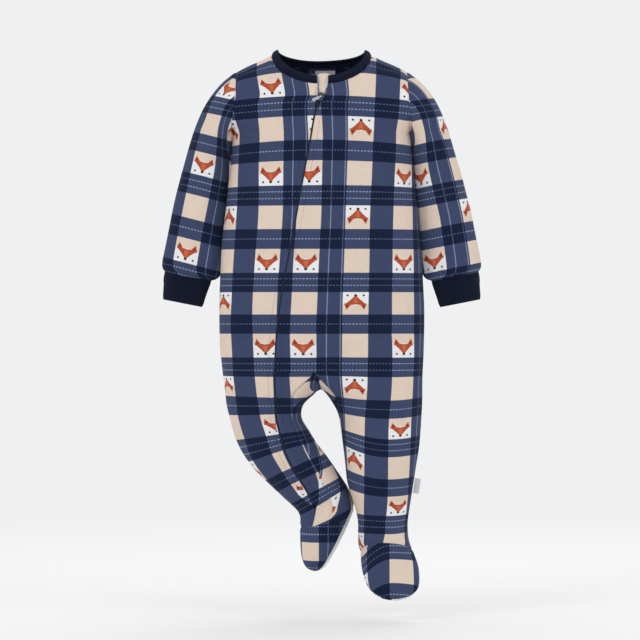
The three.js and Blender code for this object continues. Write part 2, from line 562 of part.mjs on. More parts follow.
// How far a piece's edge is drawn back at a point: a sewn edge a little, the zip's edges more.
const zipPoints = new Set();
for (let row = 0; row <= LAST_ROW; row += 1) zipPoints.add(bodyIndex("front", row, ZIP_COLUMN));
for (let ring = 1; ring <= ANKLE_RING; ring += 1) zipPoints.add(legIndex("right", ring, "front", ZIP_COLUMN));
for (let row = 1; row <= BAND_ROWS; row += 1) zipPoints.add(bandIndex("front", ZIP_COLUMN, row));
function drawBack(piece, i) {
  const zipped = piece.startsWith("front") || piece.startsWith("neckband");
  if (zipped && zipPoints.has(i)) return follow(ZIP_OPENING, "z", "half", points[i].z);
  const underarm = piece.startsWith("sleeve") && Math.abs(points[i].z - ARMHOLE.low) < 4;
  return underarm ? 3 * SEAM_PLAY : SEAM_PLAY;
}

// A closed wall between matching outer and inner points. Each face is split along its shorter way.
function wall(outer, inner, polygons) {
  const index = [];
  const edges = new Map();
  for (const corners of polygons) {
    const turn = corners.length > 3 && spread(outer, corners, 1, 3) < spread(outer, corners, 0, 2) ? 1 : 0;
    for (let n = 1; n + 1 < corners.length; n += 1) {
      const [a, b, c] = [0, n, n + 1].map((k) => corners[(k + turn) % corners.length]);
      index.push(a, b, c, a + outer.length, c + outer.length, b + outer.length);
    }
    corners.forEach((a, n) => {
      const b = corners[(n + 1) % corners.length];
      edges.set(a + "," + b, [a, b]);
    });
  }
  for (const [a, b] of edges.values())
    if (!edges.has(b + "," + a)) index.push(b, a, a + outer.length, b, a + outer.length, b + outer.length);
  const geometry = new THREE.BufferGeometry();
  const coordinates = [...outer, ...inner].flatMap((point) => [point.x, point.y, point.z]);
  geometry.setAttribute("position", new THREE.Float32BufferAttribute(coordinates, 3));
  geometry.setIndex(index);
  geometry.computeVertexNormals();
  return geometry;
}
const spread = (all, corners, i, j) => all[corners[i]].distanceTo(all[corners[j]]);

// The wall of one piece of the net, between its outer face and an inner one, closed by its rims.
function pieceGeometry(piece, thickness) {
  const polygons = faces.filter((face) => face.piece === piece).map((face) => face.corners);
  const edges = new Map();
  for (const corners of polygons) {
    const [p, q, r, t] = [0, 1, 2, 3].map((n) => points[corners[n % corners.length]]);
    const facing = corners.length > 3 ? r.clone().sub(p).cross(t.clone().sub(q)) : q.clone().sub(p).cross(r.clone().sub(p));
    corners.forEach((a, n) => {
      const b = corners[(n + 1) % corners.length];
      edges.set(a + "," + b, [a, b, facing]);
    });
  }
  const rim = [...edges.values()].filter(([a, b]) => !edges.has(b + "," + a));
  const inwards = new Map();
  for (const [a, b, facing] of rim)
    for (const i of [a, b]) {
      const turned = facing.clone().cross(points[b].clone().sub(points[a])).normalize();
      inwards.set(i, [...(inwards.get(i) ?? []), turned]);
    }
  const local = new Map();
  const outer = [];
  const inner = [];
  for (const corners of polygons)
    for (const i of corners) {
      if (local.has(i)) continue;
      local.set(i, outer.length);
      const outside = points[i].clone();
      const inside = points[i].clone().addScaledVector(normals[i], -thickness);
      if (inwards.has(i)) {
        const [first, second] = inwards.get(i);
        const direction = first.clone().add(second).normalize();
        direction.multiplyScalar(1 / Math.max(0.5, direction.dot(first)));
        outside.addScaledVector(direction, drawBack(piece, i));
        inside.addScaledVector(direction, drawBack(piece, i) + RIM_BEVEL);
      }
      outer.push(outside);
      inner.push(inside);
    }
  return wall(outer, inner, polygons.map((corners) => corners.map((i) => local.get(i))));
}

// A thin strip of cloth from a grid of places, each a point and the outward direction there.
function strip(rows, thickness) {
  const outer = rows.flat().map(({ point }) => point);
  const inner = rows.flat().map(({ point, out }) => point.clone().addScaledVector(out, -thickness));
  const width = rows[0].length;
  const polygons = [];
  for (let r = 0; r + 1 < rows.length; r += 1)
    for (let c = 0; c + 1 < width; c += 1) {
      const at = r * width + c;
      polygons.push([at, at + width, at + width + 1, at + 1]);
    }
  return wall(outer, inner, polygons);
}

// The place between two points of the net, at a share of the way and a depth under the outer face.
function under(i, j, share, depth) {
  const out = normals[i].clone().lerp(normals[j], share).normalize();
  return { point: points[i].clone().lerp(points[j], share).addScaledVector(out, -depth), out };
}

const garment = new THREE.Group();
function addPiece(name, geometry, { colour, roughness = 0.95, metalness = 0 }) {
  const mesh = new THREE.Mesh(geometry, new THREE.MeshStandardMaterial({ color: colour, roughness, metalness }));
  mesh.name = name;
  garment.add(mesh);
  return mesh;
}

// Fleece panels: the two fronts, the back, the sleeves and the tops of the feet.
const PLAID = { colour: 0x38425f };
for (const name of ["front_right", "front_left", "back", "sleeve_right", "sleeve_left", "foot_top_right", "foot_top_left"])
  addPiece(name, pieceGeometry(name, FLEECE), PLAID);

// Rib: the neckband, whose two ends meet the zip, and the cuffs.
const NAVY = { colour: 0x121a30 };
faces.forEach((face) => {
  if (face.piece === "neckband_right") face.piece = "neckband";
});
for (const name of ["neckband", "cuff_right", "cuff_left"]) addPiece(name, pieceGeometry(name, RIB), NAVY);

// White soles of the feet.
for (const name of ["sole_right", "sole_left"])
  addPiece(name, pieceGeometry(name, SOLE_CLOTH), { colour: 0xe8e8e6 });

// Navy zip tape under the edges of the two fronts, from the slider to the ankle.
const TAPE_FROM_ROW = 2;
const TAPE_DEPTH = FLEECE + 0.6;
const tapeRows = [];
function addTapeRow(right, middle, left) {
  const reach = (i) => TAPE_HALF / points[i].distanceTo(points[middle]);
  tapeRows.push([
    under(middle, right, reach(right), TAPE_DEPTH),
    under(middle, middle, 0, TAPE_DEPTH),
    under(middle, left, reach(left), TAPE_DEPTH),
  ]);
}
for (let row = TAPE_FROM_ROW; row <= LAST_ROW; row += 1)
  addTapeRow(...[-1, 0, 1].map((step) => bodyIndex("front", row, ZIP_COLUMN + step)));
for (let ring = 1; ring <= ANKLE_RING; ring += 1)
  addTapeRow(...[-1, 0, 1].map((step) => legIndex("right", ring, "front", ZIP_COLUMN + step)));
addPiece("zip_tape", strip(tapeRows, TAPE), NAVY);

// Cream fleece guard that closes the neck opening above the slider.
const guardRows = GUARD.map(({ z, right, left, y }) =>
  [right, (right + left) / 2, left].map((x) => ({
    point: new THREE.Vector3(x, y, z),
    out: new THREE.Vector3(0, -1, 0),
  })),
);
addPiece("zip_guard", strip(guardRows, GUARD_CLOTH), { colour: 0xe1cec0 });

// Bare labels: one at the back of the neck, a size tag beside it and a loop in the left side seam.
function backNeckLabel({ fromRow, toRow, fromColumn, toColumn }, depth) {
  const rows = [];
  for (let r = 0; r <= 2; r += 1) {
    const row = lerp(fromRow, toRow, r / 2);
    const cells = [0, 0.5, 1].map((share) => {
      const column = lerp(fromColumn, toColumn, share);
      const [top, low, first] = [Math.floor(row), Math.floor(row) + 1, Math.floor(column)];
      const upper = under(bodyIndex("back", top, first), bodyIndex("back", top, first + 1), column - first, depth);
      const lower = under(bodyIndex("back", low, first), bodyIndex("back", low, first + 1), column - first, depth);
      upper.point.lerp(lower.point, row - top);
      upper.out.lerp(lower.out, row - top).normalize();
      return upper;
    });
    rows.push(cells.reverse());
  }
  return strip(rows, LABEL_CLOTH);
}
addPiece("neck_label", backNeckLabel(NECK_LABEL, FLEECE + 0.5), { colour: 0xe6e6e8, roughness: 0.7 });
addPiece("size_tag", backNeckLabel(SIZE_TAG, FLEECE + 0.5), { colour: 0xb9bcc6, roughness: 0.7 });

const sideLabel = new THREE.BoxGeometry(SIDE_LABEL.width, LABEL_CLOTH, SIDE_LABEL.length);
sideLabel.rotateY(toRadians(SIDE_LABEL.lean));
sideLabel.translate(SIDE_LABEL.x, SIDE_LABEL.y, SIDE_LABEL.z);
addPiece("side_label", sideLabel, { colour: 0xf2f2f0, roughness: 0.7 });

// The zip's slider, in its own frame: X across, Y up along the zip and Z away from the cloth.
function toGeometry(solid) {
  const { vertProperties, triVerts, numProp } = solid.getMesh();
  const geometry = new THREE.BufferGeometry();
  const position = Float32Array.from({ length: (vertProperties.length / numProp) * 3 }, (_, i) =>
    vertProperties[Math.floor(i / 3) * numProp + (i % 3)],
  );
  geometry.setAttribute("position", new THREE.BufferAttribute(position, 3));
  geometry.setIndex(new THREE.BufferAttribute(new Uint32Array(triVerts), 1));
  geometry.computeVertexNormals();
  return geometry;
}
const { Manifold, CrossSection } = wasm;
const block = (x, y, z) => Manifold.cube([x, y, z], true);
const rod = (radius, length) => Manifold.cylinder(length, radius, radius, 16, true).rotate([0, 90, 0]);

const { topWidth, lowWidth, length, inner, outer } = SLIDER;
const outline = [
  [-lowWidth / 2, -length / 2],
  [lowWidth / 2, -length / 2],
  [topWidth / 2, length * 0.1],
  [topWidth / 2, length * 0.38],
  [topWidth * 0.3, length / 2],
  [-topWidth * 0.3, length / 2],
  [-topWidth / 2, length * 0.38],
  [-topWidth / 2, length * 0.1],
];
const sliderBody = new CrossSection([outline]).extrude(outer - inner).translate([0, 0, inner]);
const pinHeight = outer + PULL.eye + BAIL.play;
const lugGap = PULL.eyeWidth / 2 + BAIL.play;
const lugs = [-1, 1].map((side) => {
  const post = block(BAIL.lug, 2 * BAIL.lugReach, pinHeight - outer + 0.4);
  return rod(BAIL.lugReach, BAIL.lug)
    .translate([0, 0, pinHeight])
    .add(post.translate([0, 0, (pinHeight + outer - 0.4) / 2]))
    .translate([side * (lugGap + BAIL.lug / 2), 0, 0]);
});
const pin = rod(BAIL.pin, 2 * lugGap + BAIL.lug).translate([0, 0, pinHeight]);
const bail = lugs[0].add(lugs[1]).add(pin).rotate([0, 0, BAIL.turn]);
const slider = sliderBody.add(bail);

// The pull tab hangs on the slider's pin and lies down and to the right over the cloth.
const eye = rod(PULL.eye, PULL.eyeWidth);
const neck = block(PULL.eyeWidth, PULL.length - 1, PULL.thickness).translate([0, -(PULL.length - 1) / 2, 0]);
const plateLength = PULL.length - PULL.neck;
const plate = block(PULL.width, plateLength, PULL.thickness).translate([0, -PULL.neck - plateLength / 2, 0]);
const pull = eye
  .add(neck)
  .add(plate)
  .subtract(rod(BAIL.pin + BAIL.play, PULL.eyeWidth + 1))
  .rotate([PULL.droop, 0, 0])
  .translate([0, 0, pinHeight])
  .rotate([0, 0, BAIL.turn]);

// Both stand on the zip, square to the cloth there.
const rowAbove = bodyIndex("front", 2, ZIP_COLUMN);
const rowBelow = bodyIndex("front", 3, ZIP_COLUMN);
const seat = points[rowAbove].clone().lerp(points[rowBelow], 0.5);
const away = normals[rowAbove].clone().add(normals[rowBelow]).normalize();
const upwards = points[rowAbove].clone().sub(points[rowBelow]);
upwards.addScaledVector(away, -upwards.dot(away)).normalize();
const sliderFrame = new THREE.Matrix4()
  .makeBasis(upwards.clone().cross(away), upwards, away)
  .setPosition(seat);
const METAL = { colour: 0x2a3146, roughness: 0.45, metalness: 0.6 };
addPiece("zip_slider", toGeometry(slider).applyMatrix4(sliderFrame), METAL);
const BRIGHT = { colour: 0xb9bfca, roughness: 0.35, metalness: 0.8 };
addPiece("zip_pull", toGeometry(pull).applyMatrix4(sliderFrame), BRIGHT);

export default garment;
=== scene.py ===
import math
from functools import partial
import bpy
import numpy as np
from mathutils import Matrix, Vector
from mathutils.kdtree import KDTree


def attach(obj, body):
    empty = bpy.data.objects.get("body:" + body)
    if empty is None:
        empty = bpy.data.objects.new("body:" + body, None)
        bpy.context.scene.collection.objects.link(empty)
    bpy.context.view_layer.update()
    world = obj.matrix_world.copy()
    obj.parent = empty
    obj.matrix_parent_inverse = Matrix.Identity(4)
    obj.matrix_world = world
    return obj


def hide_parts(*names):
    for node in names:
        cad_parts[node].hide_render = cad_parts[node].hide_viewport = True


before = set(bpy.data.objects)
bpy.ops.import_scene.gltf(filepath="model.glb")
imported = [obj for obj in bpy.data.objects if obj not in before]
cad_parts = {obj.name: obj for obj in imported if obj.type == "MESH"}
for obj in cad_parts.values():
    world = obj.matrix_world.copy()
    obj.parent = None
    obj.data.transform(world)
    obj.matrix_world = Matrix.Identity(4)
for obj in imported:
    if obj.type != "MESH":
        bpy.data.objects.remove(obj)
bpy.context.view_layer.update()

# ---------------------------------------------------------------------------------------------
# Studio: a pale floor under the garment that fades into the pale room all round, and three large
# soft lamps. The camera stands level in front of the zip, far enough back for an almost flat view.
ROOM_COLOUR, ROOM_LIGHT = (0.985, 0.99, 1.0, 1.0), 0.88
FLOOR_SIZE, FLOOR_Z, FADE_FROM, FADE_TO = 14.0, -0.735, 0.5, 2.6
LAMPS_AIM = Vector((0.0, 0.0, -0.35))
scene = bpy.context.scene
scene.view_settings.view_transform = "Standard"
room = bpy.data.worlds.new("pale_room")
scene.world = room
room.use_nodes = True
room.node_tree.nodes["Background"].inputs["Color"].default_value = ROOM_COLOUR
room.node_tree.nodes["Background"].inputs["Strength"].default_value = ROOM_LIGHT

bpy.ops.object.select_all(action="DESELECT")
bpy.ops.mesh.primitive_plane_add(size=FLOOR_SIZE, location=(0.0, 0.0, FLOOR_Z))
floor = bpy.context.object
floor.name = "studio_floor"
floor_paint = bpy.data.materials.new("floor_paint")
floor_paint.use_nodes = True
tree = floor_paint.node_tree
shader = tree.nodes["Principled BSDF"]
shader.inputs["Base Color"].default_value = (0.90, 0.90, 0.90, 1.0)
shader.inputs["Roughness"].default_value = 0.9
glow = tree.nodes.new("ShaderNodeEmission")
glow.inputs["Color"].default_value = ROOM_COLOUR
glow.inputs["Strength"].default_value = ROOM_LIGHT
coordinates = tree.nodes.new("ShaderNodeTexCoord")
from_middle = tree.nodes.new("ShaderNodeVectorMath")
from_middle.operation = "LENGTH"
fading = tree.nodes.new("ShaderNodeMapRange")
fading.interpolation_type = "SMOOTHSTEP"
fading.inputs["From Min"].default_value = FADE_FROM
fading.inputs["From Max"].default_value = FADE_TO
blend = tree.nodes.new("ShaderNodeMixShader")
tree.links.new(coordinates.outputs["Object"], from_middle.inputs[0])
tree.links.new(from_middle.outputs["Value"], fading.inputs["Value"])
tree.links.new(fading.outputs["Result"], blend.inputs["Fac"])
tree.links.new(shader.outputs["BSDF"], blend.inputs[1])
tree.links.new(glow.outputs["Emission"], blend.inputs[2])
tree.links.new(blend.outputs["Shader"], tree.nodes["Material Output"].inputs["Surface"])
floor.data.materials.append(floor_paint)

for lamp_name, place, width, power in (
    ("key_lamp", (-2.3, -2.7, 1.6), 1.5, 20.0),
    ("fill_lamp", (2.7, -2.4, 0.9), 1.7, 11.0),
    ("back_lamp", (0.6, 2.4, 1.6), 1.8, 14.0),
):
    lamp_data = bpy.data.lights.new(lamp_name, "AREA")
    lamp_data.shape = "DISK"
    lamp_data.size = width
    lamp_data.energy = power
    lamp = bpy.data.objects.new(lamp_name, lamp_data)
    scene.collection.objects.link(lamp)
    lamp.location = place
    lamp.rotation_euler = (LAMPS_AIM - Vector(place)).to_track_quat("-Z", "Y").to_euler()

camera_data = bpy.data.cameras.new("camera")
camera_data.lens = 200.0
camera_data.sensor_width = 36.0
camera = bpy.data.objects.new("camera", camera_data)
scene.collection.objects.link(camera)
camera.location = (-0.00198, -4.693, -0.3432)
camera.rotation_euler = (math.pi / 2, 0.0, 0.0)
scene.camera = camera

# ---------------------------------------------------------------------------------------------
# Form of the two fronts and the back down to the crotch: one tube of fleece that hangs from the
# shoulders and is filled out, split down the front by the zip. Millimetres, until meshes are made.
STEPS = 5
BODY_Z = [12, -16, -55, -97, -132, -178, -235, -284, -343, -385, -412.5]
BODY_CENTRE = [0, 0, 0, 0, 0, 0, 0, 0, 0, 0.6, 1.4]
BODY_HALF = [112.5, 112.5, 114.5, 117.5, 120.8, 124.4, 130.6, 134, 135.3, 133.5, 132]
BODY_DEPTH = {
    "front": [45, 47, 51, 54, 57, 60, 62, 62, 59, 56, 54],
    "back": [43, 45, 49, 52, 53, 54, 56, 60, 62, 60, 57],
}
ZIP_Z = [-30, -49, -60, -80, -106, -152, -205, -272, -317, -345, -372, -412.5]
ZIP_X = [1.5, 0.5, -5, -10, -14.4, -23.1, -32.6, -45.5, -53.5, -57.6, -59.6, -61.4]
PART_Z = [-28, -97, -250, -412.5]
PART_X = [37, 31, 11, -9]
OPEN_Z = [-20, -42, -50, -60, -71, -600]
OPEN_HALF = [7.6, 6.4, 5.3, 3.2, 1.3, 1.2]
NECK_HALF, NECK_Z, NECK_DROP = 66.0, 6.6, {"front": 41.0, "back": 15.0}
TIP_X, TIP_Z, ARM_LOW, ARM_DEPTH = 112.5, -16.0, -97.0, {"front": 44.0, "back": 46.0}
SPLIT, CROTCH_Z, ARCH_Z = -370.0, -412.5, -435.0
COLUMNS = {"front": 18, "back": 16}
ZIP_COLUMN, CROTCH_COLUMN, BACK_MIDDLE, SHOULDER = 7, 10, 8, 3
YOKE, LAST = 9, 27
ROLL = 45.0
BODY_POWER, RING_POWER, LOBE_DEPTH = 2.4, 2.2, 50.0


def curve(places, values, at):
    """A smooth curve through a table's values."""
    places, values, at = (np.asarray(a, float) for a in (places, values, at))
    if places[-1] < places[0]:
        places, at = -places, -at
    k = np.arange(len(places))
    low, high = np.maximum(k - 1, 0), np.minimum(k + 1, len(places) - 1)
    slope = (values[high] - values[low]) / (places[high] - places[low])
    at = np.clip(at, places[0], places[-1])
    i = np.clip(np.searchsorted(places, at, side="right") - 1, 0, len(places) - 2)
    span, rise = places[i + 1] - places[i], values[i + 1] - values[i]
    t = (at - places[i]) / span
    first, second = slope[i] * span - rise, rise - slope[i + 1] * span
    return values[i] + rise * t + t * (1 - t) * (first * (1 - t) + second * t)


def mix(a, b, t):
    return a + (b - a) * t


def steps(low, high):
    """Places of the net's points from one of its lines to another."""
    return np.linspace(low, high, (high - low) * STEPS + 1)


def shoulder_height(x):
    beyond = np.abs(x) - NECK_HALF
    return NECK_Z - beyond * np.where(beyond > 0, (NECK_Z - TIP_Z) / (TIP_X - NECK_HALF), 0.2)


def shoulder_roll(x, z):
    below = np.clip((shoulder_height(x) - z) / ROLL, 0, 1)
    return np.sqrt(1 - (1 - below) ** 2)


def lobe_depth(x, z):
    centre, half = curve(BODY_Z, BODY_CENTRE, z), curve(BODY_Z, BODY_HALF, z)
    parting = curve(PART_Z, PART_X, z)
    low = np.where(x < parting, centre - half, parting)
    high = np.where(x < parting, parting, centre + half)
    across = np.clip(np.abs(x - (low + high) / 2) / ((high - low) / 2), 0, 1)
    return LOBE_DEPTH * (1 - across**RING_POWER) ** (1 / RING_POWER)


def body_depth(side, x, z):
    centre, half = curve(BODY_Z, BODY_CENTRE, z), curve(BODY_Z, BODY_HALF, z)
    across = np.clip(np.abs(x - centre) / half, 0, 1)
    thick = curve(BODY_Z, BODY_DEPTH[side], z)
    full, edge = thick * shoulder_roll(x, z), thick * shoulder_roll(half, z)
    arm_half, arm_middle = (TIP_Z - ARM_LOW) / 2, (TIP_Z + ARM_LOW) / 2
    arm = ARM_DEPTH[side] * np.sqrt(np.maximum(0, 1 - ((z - arm_middle) / arm_half) ** 2))
    open_share = np.where((z > ARM_LOW) & (edge > 0), np.minimum(1, arm / np.maximum(edge, 1e-9)), 0)
    kept = 1 - across**BODY_POWER * (1 - open_share**BODY_POWER)
    wide = full * np.maximum(0, kept) ** (1 / BODY_POWER)
    fall = np.clip((SPLIT - z) / (SPLIT - ARCH_Z), 0, 1)
    valley = wide * np.sqrt(np.maximum(0, 1 - fall**2))
    both = (valley**10 + lobe_depth(x, z) ** 10) ** 0.1
    return np.where(z > SPLIT, wide, both)


def angle_of(x, z):
    return np.arccos(np.clip((curve(BODY_Z, BODY_CENTRE, z) - x) / curve(BODY_Z, BODY_HALF, z), -1, 1))


def key_angles(side, k, z):
    """Angle across the body of the k-th line that the columns of cloth follow."""
    if side == "front":
        zip_line, parting = curve(ZIP_Z, ZIP_X, z), curve(PART_Z, PART_X, z)
        lines = [0 * z, angle_of(zip_line, z), angle_of(parting, z), 0 * z + math.pi]
    else:
        lines = [0 * z, angle_of(-4 * np.clip(z / CROTCH_Z, 0, 1), z), 0 * z + math.pi]
    return np.choose(k, lines)


def neck_angle(side, j):
    middle = ZIP_COLUMN if side == "front" else BACK_MIDDLE
    turn = math.acos(-ZIP_X[0] / NECK_HALF) if side == "front" else math.pi / 2
    right = turn * (j - SHOULDER) / (middle - SHOULDER)
    left = turn + (math.pi - turn) * (j - middle) / (COLUMNS[side] - SHOULDER - middle)
    return np.where(j <= middle, right, left)


def body(side, row, j):
    """Points of the front or back by row, from neck and shoulder down, and column, from the right."""
    row, j = np.broadcast_arrays(np.asarray(row, float), np.asarray(j, float))
    inner = [ZIP_COLUMN, CROTCH_COLUMN] if side == "front" else [BACK_MIDDLE]
    stops = np.array([0, *inner, COLUMNS[side]])
    k = np.clip(np.searchsorted(stops, j, side="left") - 1, 0, len(stops) - 2)
    even = (j - stops[k]) / (stops[k + 1] - stops[k])
    from_edge = np.minimum(j, COLUMNS[side] - j)
    hand = np.where(j < COLUMNS[side] / 2, -1, 1)
    on_shoulder = mix(TIP_X, NECK_HALF, np.clip(from_edge / SHOULDER, 0, 1)) * hand
    round_neck = neck_angle(side, j)
    top_x = np.where(from_edge < SHOULDER, on_shoulder, -NECK_HALF * np.cos(round_neck))
    neckline = NECK_Z - NECK_DROP[side] * np.sin(round_neck)
    top_z = np.where(from_edge < SHOULDER, shoulder_height(on_shoulder), neckline)
    down = mix((1 - np.cos(np.pi * row / YOKE)) / 2, row / YOKE, np.minimum(1, from_edge / SHOULDER))
    start, end = key_angles(side, k, top_z), key_angles(side, k + 1, top_z)
    spread = mix(np.clip((angle_of(top_x, top_z) - start) / (end - start), 0, 1), even, down)
    in_yoke = row < YOKE
    lower = mix(ARM_LOW, CROTCH_Z, (row - YOKE) / (LAST - YOKE))
    z = np.where(in_yoke, mix(top_z, ARM_LOW, down), lower)
    share = np.where(in_yoke, spread, even)
    angle = mix(key_angles(side, k, z), key_angles(side, k + 1, z), share)
    x = curve(BODY_Z, BODY_CENTRE, z) - curve(BODY_Z, BODY_HALF, z) * np.cos(angle)
    depth = body_depth(side, x, z)
    return np.stack([x, -depth if side == "front" else depth, z], -1)


# The printed plaid on those panels. U counts repeats of the print across, 130 mm each, and V down,
# 116 mm each. The panels are cut on the grain, but the zip's edge cuts across it at a slant.
ACROSS, DOWN = 130.0, 116.0
BAND_Z = [12, -9.2, -63.4, -121.4, -180.8, -237.6, -294.4, -348.5, -405.2, -460.7, -510.8, -563.6, -611.2, -667]
BAND_V = [-0.3, -0.112, 0.388, 0.888, 1.388, 1.888, 2.388, 2.888, 3.388, 3.888, 4.388, 4.888, 5.388, 5.888]
EDGE_Z = [-20, -52, -92, -149, -208.6, -266.6, -320.8, -374.4, -412.5, -427, -480]
EDGE_RIGHT_U = [1.17, 1.12, 1.044, 0.966, 0.89, 0.833, 0.785, 0.735, 0.705, 0.695, 0.666]
EDGE_LEFT_U = [0.79, 0.735, 0.654, 0.576, 0.497, 0.442, 0.391, 0.363, 0.343, 0.335, 0.32]
STRIPE_Z = [-9, -92.4, -149, -208.6, -266.6, -320.8, -374.4, -434.3, -484.4, -650]
STRIPE_X = [72, 68.5, 65.9, 63.2, 62.3, 61.1, 60.9, 59.5, 56.3, 56.0]
STRIPE_U = 1.2535
CHEST_Z, CHEST_V, GIRTHS_FROM = -63.4, 0.388, -60


def girth_table(side):
    """Length of cloth from the middle of the body out to each side, level by level."""
    levels = np.linspace(GIRTHS_FROM, CROTCH_Z, 72)
    turn = np.linspace(0, math.pi, 241)
    rows = []
    for z in levels:
        x = curve(BODY_Z, BODY_CENTRE, z) - curve(BODY_Z, BODY_HALF, z) * np.cos(turn)
        depth = body_depth(side, x, np.full_like(x, z))
        length = np.concatenate([[0], np.cumsum(np.hypot(np.diff(x), np.diff(depth)))])
        rows.append(length - np.interp(0.0, x, length))
    return levels, turn, np.array(rows)


GIRTHS = {side: girth_table(side) for side in ("front", "back")}


def girth(side, x, z):
    levels, turn, table = GIRTHS[side]
    z = np.clip(z, CROTCH_Z, GIRTHS_FROM)
    row = (z - levels[0]) / (levels[1] - levels[0])
    column = angle_of(x, z) / (turn[1] - turn[0])
    r = np.clip(row.astype(int), 0, len(levels) - 2)
    c = np.clip(column.astype(int), 0, len(turn) - 2)
    upper = mix(table[r, c], table[r, c + 1], column - c)
    lower = mix(table[r + 1, c], table[r + 1, c + 1], column - c)
    return mix(upper, lower, row - r)


def level_v(x, z):
    """Print repeats down to a level; over the shoulder they follow the roll of the cloth."""
    height = shoulder_height(x)
    above = np.clip(1 - (height - z) / ROLL, 0, 1)
    over = np.where(above > 0, 46 * np.arcsin(above) + height - ROLL - CHEST_Z, z - CHEST_Z)
    return np.where(z > CHEST_Z, CHEST_V - over / 118.0, curve(BAND_Z, BAND_V, z))


def front_sag(x, z):
    return 6.0 * (np.abs(x) / 112.0) ** 2 * np.clip((z + 190) / 80, 0, 1)


def print_front_right(points):
    x, z = points[..., 0], points[..., 2]
    from_zip = girth("front", x, z) - girth("front", curve(ZIP_Z, ZIP_X, z), z)
    return curve(EDGE_Z, EDGE_RIGHT_U, z) + from_zip / ACROSS, level_v(x, z + front_sag(x, z))


def print_front_left(points):
    x, z = points[..., 0], points[..., 2]
    edge = girth("front", curve(ZIP_Z, ZIP_X, z), z)
    stripe = girth("front", curve(STRIPE_Z, STRIPE_X, z), z)
    here, edge_u = girth("front", x, z), curve(EDGE_Z, EDGE_LEFT_U, z)
    near = edge_u + (STRIPE_U - edge_u) * (here - edge) / (stripe - edge)
    u = np.where(here < stripe, near, STRIPE_U + (here - stripe) / ACROSS)
    return u, level_v(x, z + front_sag(x, z))


def print_back(points):
    x, z = points[..., 0], points[..., 2]
    return 0.12 - girth("back", x, z) / ACROSS, level_v(x, z)


# The cloth is laid as grids of points, each with its print. Grids that meet share their edges.
cloth = []


def lengths(points, axis):
    """Running length of cloth along a grid's rows or columns, or along one line of points."""
    spans = np.linalg.norm(np.diff(points, axis=axis), axis=-1)
    start = np.zeros_like(np.take(spans, [0], axis))
    return np.concatenate([start, np.cumsum(spans, axis)], axis)


def draw_back(grid, side, half):
    """Slides the cloth beside the zip back from the middle line, cutting its print."""
    grid = grid if side > 0 else grid[:, ::-1]
    grid = grid.copy()
    for r in range(len(grid)):
        strip = grid[r, -STEPS - 1 :].copy()
        along = lengths(strip[:, :3], 0)
        kept = along * (along[-1] - half[r]) / along[-1]
        for channel in range(5):
            grid[r, -STEPS - 1 :, channel] = np.interp(kept, along, strip[:, channel])
    return grid if side > 0 else grid[:, ::-1]


def lay(piece, points, u, v, zip_side=0, half=None, flip=False, where=None):
    """One grid of a piece's cloth. The zip is at its last column if zip_side is 1, and at its first
    if it is -1. `half` is the half width of the slit, and `where` marks the cells of its own."""
    grid = np.concatenate([points, u[..., None], v[..., None]], -1)
    if zip_side:
        edge = points[:, -1 if zip_side > 0 else 0]
        half = curve(OPEN_Z, OPEN_HALF, edge[:, 2]) if half is None else half
        grid = draw_back(grid, zip_side, half)
    cloth.append((piece, grid, flip, where))
    return len(cloth) - 1


rows = steps(0, LAST)[:, None]
torso_right = body("front", rows, steps(0, ZIP_COLUMN))
torso_left = body("front", rows, steps(ZIP_COLUMN, COLUMNS["front"]))
torso_back = body("back", rows, steps(0, COLUMNS["back"]))
zip_torso_right = lay("front_right", torso_right, *print_front_right(torso_right), zip_side=1)
zip_torso_left = lay("front_left", torso_left, *print_front_left(torso_left), zip_side=-1)
lay("back", torso_back, *print_back(torso_back), flip=True)

# ---------------------------------------------------------------------------------------------
# Form of the legs and feet. The right leg is bent in at the knee and shows its foot from the side,
# the left hangs straight with its foot forwards. Each row of a table is one ring round the leg:
# outer x z, inner x z, depths front and back, y, then angles of side seam, zip, inseam and sole.
RIGHT_LEG = [
    (-127.5, -436, -9, -441, 49, 53, 0, 0, 96, 121, 0),
    (-125.5, -455, -24, -456, 46, 50, 1, 0, 105, 136, 0),
    (-121, -475, -26, -472, 44, 47, 2, 0, 106, 138, 0),
    (-113.5, -499.5, -17, -488, 43, 45, 3, -2, 102, 136, 0),
    (-102, -523, -6, -505.5, 42, 44, 5, -8, 95, 131, 0),
    (-86.5, -542.5, 6, -522, 40, 42, 7, -18, 90, 126, 0),
    (-68, -561, 18.5, -539.5, 38, 40, 10, -31, 85, 119, 0),
    (-49, -579, 30, -557, 36, 37, 13, -46, 79, 112, 0),
    (-33, -595, 39.5, -574, 34, 34, 15, -60, 71, 105, 0),
    (-29, -605, 43, -590, 33, 33, 16, -72, 64, 100, 40),
    (-28.5, -617, 37.5, -607, 33, 33, 16, -80, 60, 98, 52),
    (-28.5, -632, 30, -624, 33.5, 33.5, 16, -80, 60, 98, 58),
    (-28, -646, 22, -640, 34, 34, 16, -80, 60, 98, 62),
    (-26.5, -657.5, 14.5, -653.5, 32, 32, 16, -80, 60, 98, 66),
    (-23, -666.5, 8.5, -663.5, 26, 26, 16, -80, 60, 98, 72),
    (-17.5, -672.5, 3, -670.5, 17, 17, 16, -80, 60, 98, 80),
]
RIGHT_TOE = (-5.5, 16, -675)
